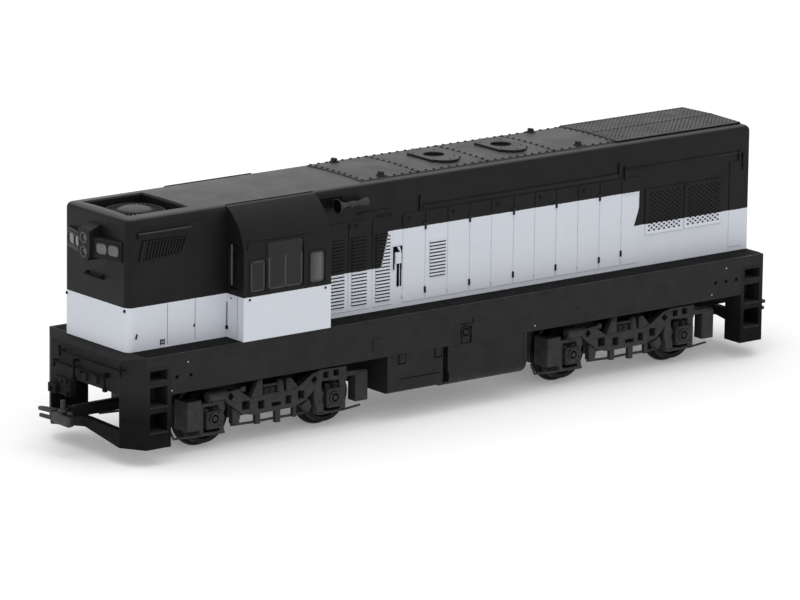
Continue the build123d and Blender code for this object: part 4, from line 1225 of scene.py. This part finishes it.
class LOCO_OT_sills(LocoOperator, bpy.types.Operator):
    """Adds rivets, pads, latches and lines to the sills, the equipment box and the fuel tank"""
    bl_idname = "loco.sills"
    bl_label = "Sill and tank fittings"

    # along and up
    rivets = ((-29.7, 17.3), (-22.4, 16.9), (29.7, 17.3))
    holes = ((-72.6, 17.5), (-69.2, 17.5), (66.9, 17.6), (69.8, 17.6), (72.6, 17.6))
    pins = ((-69.9, 20.2), (-73.8, 14.9), (18.1, 15.2), (69.8, 20.4), (65.9, 15.2))
    pad = ((-23.9, -20.9), (15.5, 18.2))
    filler = (-0.1, 16.5)
    box_latches = ((-16.3, 13.1), (-7.0, 13.2))
    box_line = ((-17.1, -6.6), 8.9)
    tank_straps = (-4.3, 15.6)
    # along and up: engraved lines round the filler and the hatch beside it
    engraved = (((-1.6, 1.8), (18.1, 18.25)), ((1.7, 1.95), (18.1, 19.3)), ((-1.3, 1.3), (14.12, 14.3)),
                ((-1.35, -1.2), (14.2, 17.2)), ((1.0, 1.45), (14.2, 17.6)))
    # how far the sills and the walkways run from the middle
    sill_length, walkway_length = 80.0, 79.6

    def execute(self, context):
        rivet_radius = context.scene.loco_underframe.rivet_radius / MM
        rivet = ball("rivet", (SILL_SIDE, 0, 0), rivet_radius, (0.55, 1, 1))
        raised = [copies(rivet, [(0, y, z) for y, z in self.rivets]),
                  proud("pad", SILL_SIDE, 0.14, *self.pad)]
        y, z = self.filler
        raised += [round_bar("filler", (SILL_SIDE - 0.1, y, z), (SILL_SIDE + 0.2, y, z), 0.62, 16),
                   hoop("filler", (SILL_SIDE + 0.05, y, z), 1.05, 0.16, axis=0, segments=24),
                   proud("filler", SILL_SIDE, 0.1, about(y, 0.9), (14.25, 15.6)),
                   proud("edge", SILL_SIDE, 0.06, about(0, self.sill_length), (21.75, 22.1))]
        on_sides("sill_fittings", raised, moulded_black, slot="frame_plastic")
        pin = ball("sill_pins", (SILL_SIDE, 0, 0), 0.16, (0.6, 1, 1), 10, 6)
        finish(mirrored(copies(pin, [(0, y, z) for y, z in self.pins])), bright_pin, slot="frame_plastic")
        # the walkways' dark matt plate is partly their own black and partly painted shade, where the hood
        # shades the deck
        walk = block("walkways", (HOOD_SIDE - 0.2, SILL_SIDE - 0.7), about(0, self.walkway_length),
                     (DECK_TOP - 0.1, DECK_TOP + 0.05), 0.02)
        finish(mirrored(walk), deck_black, slot="frame_plastic")
        lines = [proud("line", SILL_SIDE, 0.03, y, z, 0.01) for y, z in self.engraved]
        lines += [round_bar("line", (SILL_SIDE - 0.2, y, z), (SILL_SIDE + 0.03, y, z), 0.4, 14, 0.01)
                  for y, z in self.holes]
        y, z = self.filler
        lines.append(round_bar("line", (SILL_SIDE - 0.2, y, z), (SILL_SIDE + 0.06, y, z), 1.35, 24, 0.01))
        # the deep joint between the box and the tank
        joint = (span("equipment_box")[1].y, span("fuel_tank")[0].y + 0.75)
        lines.append(proud("line", BELLY_SIDE, 0.04, joint, (6.6, 14.2), 0.01, sunk=0.6))
        y, z = self.box_line
        lines.append(proud("line", BELLY_SIDE, 0.03, y, about(z, 0.08), 0.01))
        lines += [proud("line", BELLY_SIDE, 0.03, about(y, 1.0), about(z, 1.15), 0.01)
                  for y, z in self.box_latches]
        on_sides("sill_lines", lines, shadow_black, slot="frame_plastic")
        latches = [proud("latch", BELLY_SIDE, 0.12, about(y, 0.78), about(z, 0.9))
                   for y, z in self.box_latches]
        latches += [proud("latch", BELLY_SIDE, 0.25, about(y, 0.25), about(z, 0.3), sunk=0)
                    for y, z in self.box_latches]
        latches += [proud("strap", BELLY_SIDE, 0.1, about(y, 0.25), (8.6, 14.0)) for y in self.tank_straps]
        on_sides("box_latches", latches, moulded_black, slot="frame_plastic")
        return {"FINISHED"}


class LOCO_OT_steps(LocoOperator, bpy.types.Operator):
    """Adds the treads in the corner steps"""
    bl_idname = "loco.steps"
    bl_label = "Corner steps"

    # floor of each foothold, where it lies along, and its ribs across
    treads = (6.8, 12.0, 17.2)
    along = (-79.2, -74.8)
    ribs = (13.6, 14.4, 15.2, 16.0)

    def execute(self, context):
        thick = context.scene.loco_underframe.tread_thickness / MM
        tread = block("treads", (12.8, SILL_SIDE + 0.15), self.along, (-thick + 0.2, 0.2), 0.1)
        ribs = [block("treads", (x, x + 0.25), (self.along[0] + 0.4, self.along[1] - 0.4), (0.1, 0.32), 0.05)
                for x in self.ribs]
        one = join("step_treads", tread, *ribs)
        finish(both_ends(mirrored(copies(one, [(0, 0, z) for z in self.treads]))), moulded_black,
               slot="frame_plastic")
        return {"FINISHED"}


class LOCO_OT_pilots(LocoOperator, bpy.types.Operator):
    """Adds the pilots' handrails, hoses, brackets and rivets at both ends"""
    bl_idname = "loco.pilots"
    bl_label = "Pilot fittings"

    rail_reach = 0.85
    # across and up: where each rail runs, and each stanchion's place, foot and head
    rails = ((-7.0, 13.3, 19.7), (-9.4, -2.6, 17.2), (-1.6, 8.0, 17.35))
    stanchions = ((-7.5, 18.5, 20.8), (13.3, 18.5, 20.8), (-9.4, 16.0, 17.6))
    hoses = ((-2.3, 15.0, 18.8), (8.2, 14.9, 18.0))
    brackets = ((-1.4, 16.2, 17.6), (0.6, 15.1, 16.7), (4.3, 15.2, 16.9))
    rivets = ((-9.1, 18.8), (-10.1, 12.9), (-5.6, 12.6), (-4.8, 20.7), (10.2, 17.9), (12.9, 13.8),
              (12.9, 9.2))
    # across, how far out, up, and rounding: a shelf with two legs, the socket for a jumper cable and an angle
    fittings = (((-9.9, -5.9), 0.6, (13.6, 14.1), 0.1), ((-8.4, -7.6), 0.5, (13.0, 13.7), 0.06),
                ((-6.7, -5.9), 0.5, (13.0, 13.7), 0.06), ((-11.5, -8.9), 1.0, (10.5, 12.4), 0.12),
                ((-6.6, -5.5), 0.5, (10.5, 11.3), 0.08))
    # across and up: the middle of that socket
    socket = (-10.2, 11.4)

    def execute(self, context):
        settings = context.scene.loco_underframe
        radius, rivet_radius = settings.rail_radius / MM, settings.rivet_radius / MM
        face = -PILOT_FACE
        out = face - self.rail_reach
        bars = []
        for x0, x1, z in self.rails:
            points = [(x0, face + 0.2, z), (x0, out, z), (x1, out, z), (x1, face + 0.2, z)]
            bars.append(wire("rail", points, radius))
        bars += [round_bar("stanchion", (x, out, z0), (x, out, z1), radius * 1.1, 8)
                 for x, z0, z1 in self.stanchions]
        bars += [wire("hose", [(x, face + 0.2, z1 - 0.3), (x, out - 0.2, z1), (x, out - 0.2, z0)],
                      radius * 1.15) for x, z0, z1 in self.hoses]
        bars += [block("coupling", about(x, 0.45), (out - 0.55, out + 0.25), (z0 - 0.5, z0 + 0.3), 0.1)
                 for x, z0, z1 in self.hoses]
        on_ends("pilot_rails", bars, deck_black, slot="frame_plastic")
        solids = [block("bracket", about(x, 0.5), (face - 0.7, face + 0.1), (z0, z1), 0.1)
                  for x, z0, z1 in self.brackets]
        solids += [block("fitting", x, (face - reach, face + 0.1), z, bevel)
                   for x, reach, z, bevel in self.fittings]
        x, z = self.socket
        solids.append(hoop("fitting", (x, face - 1.0, z), 0.55, 0.14, axis=1, segments=20))
        stud = ball("rivet", (0, face, 0), rivet_radius, (1, 0.55, 1))
        solids.append(copies(stud, [(x, 0, z) for x, z in self.rivets]))
        on_ends("pilot_fittings", solids, pilot_black, slot="frame_plastic")
        hole = round_bar("pilot_holes", (x, face - 1.04, z), (x, face - 0.9, z), 0.48, 16, 0.02)
        finish(both_ends(hole), shadow_black, slot="frame_plastic")
        return {"FINISHED"}


class LOCO_OT_couplers(LocoOperator, bpy.types.Operator):
    """Adds the couplers: a shank with a head, a hook loop, a lower bar and an uncoupling pin"""
    bl_idname = "loco.couplers"
    bl_label = "Couplers"

    # outlines: across, and along from the pivot
    head = ((1.3, 15.7), (2.4, 16.2), (2.9, 17.6), (2.5, 18.0), (-3.0, 18.0), (-3.5, 17.6), (-3.5, 16.0),
            (-1.5, 15.7))
    loop = ((-3.2, 15.9), (-3.2, 17.9), (-6.6, 18.55), (-7.2, 18.3), (-7.35, 17.7), (-7.0, 17.3))
    loop_hole = ((-3.9, 16.7), (-3.9, 17.5), (-6.2, 18.0), (-6.4, 17.7))
    lower_bar = ((-3.2, 17.0), (-3.2, 17.9), (-6.9, 18.3), (-7.1, 17.6))
    # along from the pivot, and up: the shank and the rib on it
    shank = ((1.0, 15.5), (8.1, 10.1))
    rib = ((3.0, 14.8), (9.9, 10.25))
    half_shank, half_rib = 1.3, 0.3
    # along from the pivot: the uncoupling pin, and across from it: the rivet beside it
    pin = 17.25
    rivet = -2.4

    def execute(self, context):
        for end, sign in ENDS:
            pivot = sign * COUPLER_PIVOT

            def here(points):
                """Points across and along, at this end."""
                return [(-sign * x, sign * (COUPLER_PIVOT + along)) for x, along in points]

            def post(x, y, foot, head, radius, vertices, bevel):
                """An upright pin."""
                return round_bar("coupler", (x, y, foot), (x, y, head), radius, vertices, bevel)

            def bar(half_width, along, z, bevel):
                """A bar along the coupler's middle."""
                ends = sorted(sign * (COUPLER_PIVOT + y) for y in along)
                return block("coupler", (-half_width, half_width), ends, z, bevel)

            head = plate("coupler", here(self.head), 2, 6.6, 8.8, 0.28, 2)
            loop = cut(plate("coupler", here(self.loop), 2, 8.45, 9.1, 0),
                       plate("coupler", here(self.loop_hole), 2, 8.0, 10.0, 0))
            lower_bar = plate("coupler", here(self.lower_bar), 2, 7.0, 7.7, 0.12)
            eye = post(0, pivot, 8.1, 10.1, 2.2, 28, 0.05)
            arm = join("coupler", eye, bar(self.half_shank, *self.shank, 0.2))
            arm = cut(arm, post(0, pivot, 7, 11, 0.9, 24, 0.02))
            rib = bar(self.half_rib, *self.rib, 0.1)
            tip = sign * (COUPLER_PIVOT + self.pin)
            posts = [post(0, tip, 9.2, 11.7, 0.52, 16, 0.1), post(0, tip, 9.3, 9.9, 1.0, 20, 0.12),
                     post(sign * self.rivet, tip, 9.3, 9.72, 0.6, 16, 0.1)]
            made = join("coupler_hook_" + end, head, soften(loop, 0.1), lower_bar, rib, *posts)
            finish(made, coupler_plastic, body="coupler_" + end, slot="coupler_plastic")
            arm.name = arm.data.name = "coupler_shank_" + end
            finish(arm, pilot_black, body="coupler_" + end, slot="coupler_plastic")
            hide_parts("coupler_" + end)
        return {"FINISHED"}


class LOCO_OT_bogies(LocoOperator, bpy.types.Operator):
    """Adds the bogies' cast side frames, axle boxes, springs and brake gear"""
    bl_idname = "loco.bogies"
    bl_label = "Bogies"

    # outlines: along from the bogie's centre, and up
    truss = ((-12.5, 10.0), (-10.3, 11.5), (-8.5, 11.3), (-5.7, 9.3), (-4.3, 9.5), (4.3, 9.5), (6.3, 10.1),
             (9.6, 12.2), (11.8, 12.7), (18.2, 12.6), (18.2, 9.9), (12.2, 10.3), (11.2, 9.9), (8.1, 7.0),
             (4.7, 6.0), (-5.3, 5.9), (-7.2, 6.3), (-9.7, 7.8))
    # along, up, length and height of the square holes, and along and up of the ones on a corner
    holes = ((-7.0, 8.1, 1.9, 1.8), (-3.2, 7.7, 1.6, 1.7), (0.6, 7.3, 2.4, 0.8), (3.6, 7.75, 1.5, 1.7),
             (6.8, 8.3, 1.6, 1.7), (13.0, 11.5, 1.3, 1.3), (15.6, 11.6, 1.4, 1.3))
    diamonds = ((-10.7, 10.4), (10.1, 10.9))
    half_diamond = 0.85
    rivets = ((-3.4, 12.2), (3.8, 11.4), (-9.0, 9.6), (8.6, 9.3), (17.4, 11.6), (-12.9, 5.9), (11.7, 6.0),
              (17.4, 8.4), (17.4, 5.0))
    plates = (
        ((-5.7, 9.2), (-4.1, 12.8), (-2.7, 12.9), (-2.7, 9.2)),
        ((3.2, 9.3), (3.2, 12.1), (4.3, 12.2), (6.3, 10.0), (5.6, 9.3)),
        ((-18.2, 9.1), (-18.2, 9.9), (-12.6, 10.2), (-12.1, 9.6), (-12.9, 9.1)),
        ((-18.2, 3.6), (-18.2, 9.3), (-17.3, 9.3), (-17.3, 3.6)),
        ((-13.7, 3.6), (-13.7, 9.3), (-12.2, 9.7), (-11.9, 8.4), (-12.4, 7.2), (-12.0, 6.4), (-12.4, 5.2),
         (-12.1, 3.6)),
        ((10.3, 9.9), (12.1, 10.4), (12.1, 8.6), (12.7, 7.6), (12.3, 6.4), (12.7, 5.2), (12.6, 3.6),
         (10.9, 3.6), (10.7, 5.2), (10.1, 7.0)),
        ((16.6, 3.6), (16.6, 10.2), (18.2, 10.2), (18.2, 3.6)),
        ((-18.2, 3.3), (-18.2, 3.9), (-12.1, 3.9), (-12.1, 3.3)),
        ((10.9, 3.4), (10.9, 4.0), (18.2, 4.0), (18.2, 3.4)),
        ((17.6, 10.3), (17.6, 11.5), (23.6, 11.2), (23.6, 10.3)),
    )
    shoes = (((-10.0, 7.9), (-7.9, 6.4), (-8.4, 4.3), (-10.0, 4.5)),
             ((7.1, 5.9), (9.2, 7.0), (9.9, 5.2), (8.6, 4.1)))
    # across, along and up
    end_boxes = (((10.4, 13.0), (-21.4, -17.9), (4.6, 10.8)), ((8.5, 13.0), (-21.5, -21.05), (4.6, 10.8)),
                 ((10.4, 13.0), (20.5, 23.7), (4.8, 10.9)))
    # along, foot and turns of each coil spring in the middle pocket and over the axle boxes
    springs = ((-1.7, 9.7, 4), (-0.2, 9.7, 4))
    box_springs = ((-16.4, 8.15, 2), (-14.3, 8.15, 2), (13.8, 8.5, 3), (15.8, 8.5, 3))
    turn_pitch = 0.36
    # along and up: each axle box's place and head
    boxes = ((-HALF_WHEELBASE, 7.9), (HALF_WHEELBASE, 8.3))
    # across and up: the brake cylinder
    cylinder = (13.4, 11.3)
    # along and up: what the bar and the irons run through, and the range of each hanger
    brake_bar = ((-9.9, 4.3), (-4.7, 4.1), (0.9, 4.2), (6.6, 4.1), (9.4, 4.4))
    hangers = ((-4.4, -3.1, 3.7, 6.2), (0.6, 1.9, 3.3, 6.2), (5.0, 5.9, 3.8, 6.3))
    guard_irons = (((-25.5, 5.8), (-24.5, 3.7), (-18.0, 3.4), (-12.1, 3.3)),
                   ((11.9, 3.5), (17.5, 3.5), (21.8, 3.9)))
    # across: a side frame's inner and outer face
    near, far = 11.4, 13.0

    def side_frame(self, edge):
        """One side frame with its holes, webs and pedestals."""
        truss = plate("frame", self.truss, 0, self.near, self.far, bevel=0)
        near, far = self.near - 1, self.far + 1
        cutters = [block("hole", (near, far), about(y, long / 2), about(z, high / 2), 0.02)
                   for y, z, long, high in self.holes]
        half = self.half_diamond
        cutters += [plate("hole", ((y - half, z), (y, z + half), (y + half, z), (y, z - half)), 0, near, far,
                          bevel=0) for y, z in self.diamonds]
        parts = [soften(cut(truss, *cutters), edge)]
        parts += [plate("frame", outline, 0, self.near, self.far - 0.12, edge) for outline in self.plates]
        parts += [block("frame", x, y, z, edge) for x, y, z in self.end_boxes]
        rivet = ball("rivet", (self.far - 0.1, 0, 0), 0.24, (0.8, 1, 1), 10, 6)
        parts.append(copies(rivet, [(0, y, z) for y, z in self.rivets]))
        return join("side_frame", *parts)

    def axle_boxes(self, cap_radius):
        """The two axle boxes of a side, each with a ringed cap."""
        parts = []
        z = AXLE_HEIGHT
        for y, head in self.boxes:
            body = block("axle_box", (10.6, 13.2), about(y, 1.7), (4.5, head), 0.14)
            edit(body, lambda centre, normal: normal.x > 0.9)
            bpy.ops.mesh.inset(thickness=0.3 * MM, depth=0.14 * MM)
            object_mode()
            parts += [body, hoop("axle_box", (13.5, y, z), cap_radius - 0.25, 0.24, axis=0, segments=28),
                      round_bar("axle_box", (13.2, y, z), (13.75, y, z), 0.55, 16, 0.12),
                      block("axle_box", (11.2, 13.5), about(y, 1.9), (head - 0.1, head + 0.25), 0.08)]
            bolt = round_bar("axle_box", (13.2, 0, 0), (13.6, 0, 0), 0.2, 6, 0.05)
            parts.append(copies(bolt, [(0, y + a, z + b) for a in (-1.35, 1.35) for b in (-1.55, 1.1)]))
        return join("axle_box", *parts)

    def coils(self, radius):
        """Coil springs in the middle pocket and over the axle boxes."""
        parts = []
        for y, z, turns in (*self.springs, *self.box_springs):
            size = radius if (y, z, turns) in self.springs else radius * 0.75
            coil = hoop("spring", (12.2, y, z), size, 0.15, segments=16, rings=6)
            parts.append(copies(coil, [(0, 0, i * self.turn_pitch) for i in range(turns)]))
        parts += [block("spring_seat", (11.5, 12.8), (-2.6, 1.0), (11.1, 11.65), 0.12),
                  round_bar("spring_seat", (12.2, 1.9, 9.5), (12.2, 1.9, 11.5), 0.95, 16, 0.12, 0.8),
                  ball("spring_seat", (12.2, 1.9, 11.5), 0.8),
                  block("spring_seat", (11.5, 12.9), (-2.7, 3.2), (9.3, 9.7), 0.1)]
        return join("springs", *parts)

    def brakes(self):
        """The brake cylinder with its rod, the shoes, hangers and bars, and the guard irons."""
        x, z = self.cylinder
        cylinder = round_bar("brake", (x, -17.0, z), (x, -12.2, z), 1.02, 24, 0.14)
        bands = [round_bar("brake", (x, y - 0.2, z), (x, y + 0.2, z), 1.14, 24, 0.08) for y in (-16.5, -12.7)]
        rod = round_bar("brake", (13.2, -12.3, 11.4), (13.0, -7.6, 11.7), 0.26, 10)
        parts = [cylinder, *bands, rod, block("brake", (12.5, 13.3), (-8.3, -7.2), (11.1, 12.2), 0.12),
                 block("brake", (11.8, 13.2), (-15.4, -13.9), (9.6, 11.0), 0.1)]
        parts += [plate("brake", outline, 0, 11.2, 12.6, 0.1) for outline in self.shoes]
        parts.append(wire("brake", [(12.0, y, z) for y, z in self.brake_bar], 0.28))
        parts += [block("brake", (11.7, 12.7), (y0, y1), (z0, z1), 0.12) for y0, y1, z0, z1 in self.hangers]
        parts += [wire("brake", [(12.6, y, z) for y, z in points], 0.24) for points in self.guard_irons]
        return join("brake_gear", *parts)

    def execute(self, context):
        settings = context.scene.loco_bogie
        sides = {"side_frames": self.side_frame(settings.edge / MM),
                 "axle_boxes": self.axle_boxes(settings.cap_radius / MM),
                 "springs": self.coils(settings.spring_radius / MM),
                 "brake_gear": self.brakes()}
        axles = (-HALF_WHEELBASE, HALF_WHEELBASE)
        dark = join("dark", block("dark", (11.05, 11.35), (-2.7, 3.2), (9.5, 12.4), 0.02),
                    *[block("dark", (11.0, 13.1), about(y, 1.5), (4.0, 4.5), 0.02) for y in axles],
                    *[round_bar("dark", (13.0, y, AXLE_HEIGHT), (13.4, y, AXLE_HEIGHT),
                                settings.cap_radius / MM, 28, 0.03) for y in axles])
        replaced = {"side_frames": ("side_frames", "frame_end_plates"), "brake_gear": ("brake_gear",)}
        for name, one in (*sides.items(), ("bogie_shadows", dark)):
            pair = mirrored(one)
            for end, sign in ENDS:
                made = twin(pair, Matrix.Translation((0, sign * BOGIE_CENTRE * MM, 0)))
                made.name = made.data.name = f"{name}_{end}_detail"
                finish(made, shadow_black if name == "bogie_shadows" else bogie_black, body="bogie_" + end,
                       slot="frame_plastic")
                for node_name in replaced.get(name, ()):
                    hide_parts(f"{node_name}_{end}")
            bpy.data.objects.remove(pair)
        return {"FINISHED"}


class LOCO_OT_stage(LocoOperator, bpy.types.Operator):
    """Adds the floor, the lights and the camera"""
    bl_idname = "loco.stage"
    bl_label = "Stage"

    camera_place = (988.3, -779.3, 320.4)
    camera_turn = (76.567, -0.714, 52.063)
    camera_lens = 283.65

    def execute(self, context):
        stage = context.scene.loco_stage
        scene = context.scene
        scene.view_settings.view_transform = "Standard"
        deselect()
        bpy.ops.mesh.primitive_plane_add(size=24, location=(0, 0, 0))
        floor = settle("floor")
        floor.data.materials.append(use(white_paper))
        self.softbox("overhead_softbox", (0.15, -0.1, 1.1), (0, 0, 0), 1.3, 1.3, stage.overhead)
        self.softbox("side_softbox", (1.1, -0.9, 0.75), (0, 0, 0.02), 0.9, 0.6, stage.side_box)
        world = bpy.data.worlds.new("studio")
        scene.world = world
        world.use_nodes = True
        tree = world.node_tree
        strength = node(tree, "ShaderNodeMapRange", {"Value": seen_directly(tree), "To Min": stage.sky,
                                                     "To Max": 1.0})
        background = tree.nodes["Background"]
        background.inputs["Color"].default_value = (1, 1, 1, 1)
        tree.links.new(strength, background.inputs["Strength"])
        bpy.ops.object.camera_add(location=Vector(self.camera_place) * MM,
                                  rotation=[math.radians(angle) for angle in self.camera_turn])
        camera = bpy.context.object
        camera.data.lens = self.camera_lens
        camera.data.sensor_width = 36
        camera.data.clip_start = 0.01
        camera.data.clip_end = 100
        scene.camera = camera
        return {"FINISHED"}

    def softbox(self, name, place, target, width, height, watts):
        """A rectangular area lamp that looks at target and that the camera doesn't see."""
        turn = (Vector(target) - Vector(place)).to_track_quat("-Z", "Y").to_euler()
        bpy.ops.object.light_add(type="AREA", location=place, rotation=turn)
        lamp = bpy.context.object
        lamp.name = name
        lamp.data.shape = "RECTANGLE"
        lamp.data.size = width
        lamp.data.size_y = height
        lamp.data.energy = watts
        lamp.visible_camera = False


class LOCO_PT_panel(bpy.types.Panel):
    """Lists the steps and the settings"""
    bl_label = "Locomotive"
    bl_idname = "LOCO_PT_panel"
    bl_space_type = "VIEW_3D"
    bl_region_type = "UI"
    bl_category = "Locomotive"

    def draw(self, context):
        for operator in OPERATORS:
            self.layout.operator(operator.bl_idname)
        for name in SETTINGS:
            settings = getattr(context.scene, name)
            box = self.layout.box()
            for key in settings.__annotations__:
                box.prop(settings, key)


SETTINGS = {
    "loco_paint": LocoPaintSettings,
    "loco_hood": LocoHoodSettings,
    "loco_roof": LocoRoofSettings,
    "loco_cab": LocoCabSettings,
    "loco_underframe": LocoUnderframeSettings,
    "loco_bogie": LocoBogieSettings,
    "loco_stage": LocoStageSettings,
}
# in the order in which they run
OPERATORS = (LOCO_OT_shell, LOCO_OT_hood_doors, LOCO_OT_louvred_doors, LOCO_OT_hood_ledges, LOCO_OT_grilles,
             LOCO_OT_roof_plates, LOCO_OT_roof_radiators, LOCO_OT_exhausts, LOCO_OT_fan, LOCO_OT_short_hood,
             LOCO_OT_cab, LOCO_OT_end_lamps, LOCO_OT_horn, LOCO_OT_sills, LOCO_OT_steps, LOCO_OT_pilots,
             LOCO_OT_couplers, LOCO_OT_bogies, LOCO_OT_stage)
CLASSES = (*SETTINGS.values(), *OPERATORS, LOCO_PT_panel)


def register():
    """Registers the classes and hangs the settings on the scene."""
    for cls in CLASSES:
        bpy.utils.register_class(cls)
    for name, cls in SETTINGS.items():
        setattr(bpy.types.Scene, name, bpy.props.PointerProperty(type=cls))


def unregister():
    """Takes the settings and the classes away again."""
    for name in SETTINGS:
        delattr(bpy.types.Scene, name)
    for cls in reversed(CLASSES):
        bpy.utils.unregister_class(cls)


def main():
    """Registers the classes and builds everything in order."""
    register()
    for operator in OPERATORS:
        getattr(bpy.ops.loco, operator.bl_idname.removeprefix("loco."))()


if __name__ == "__main__":
    main()
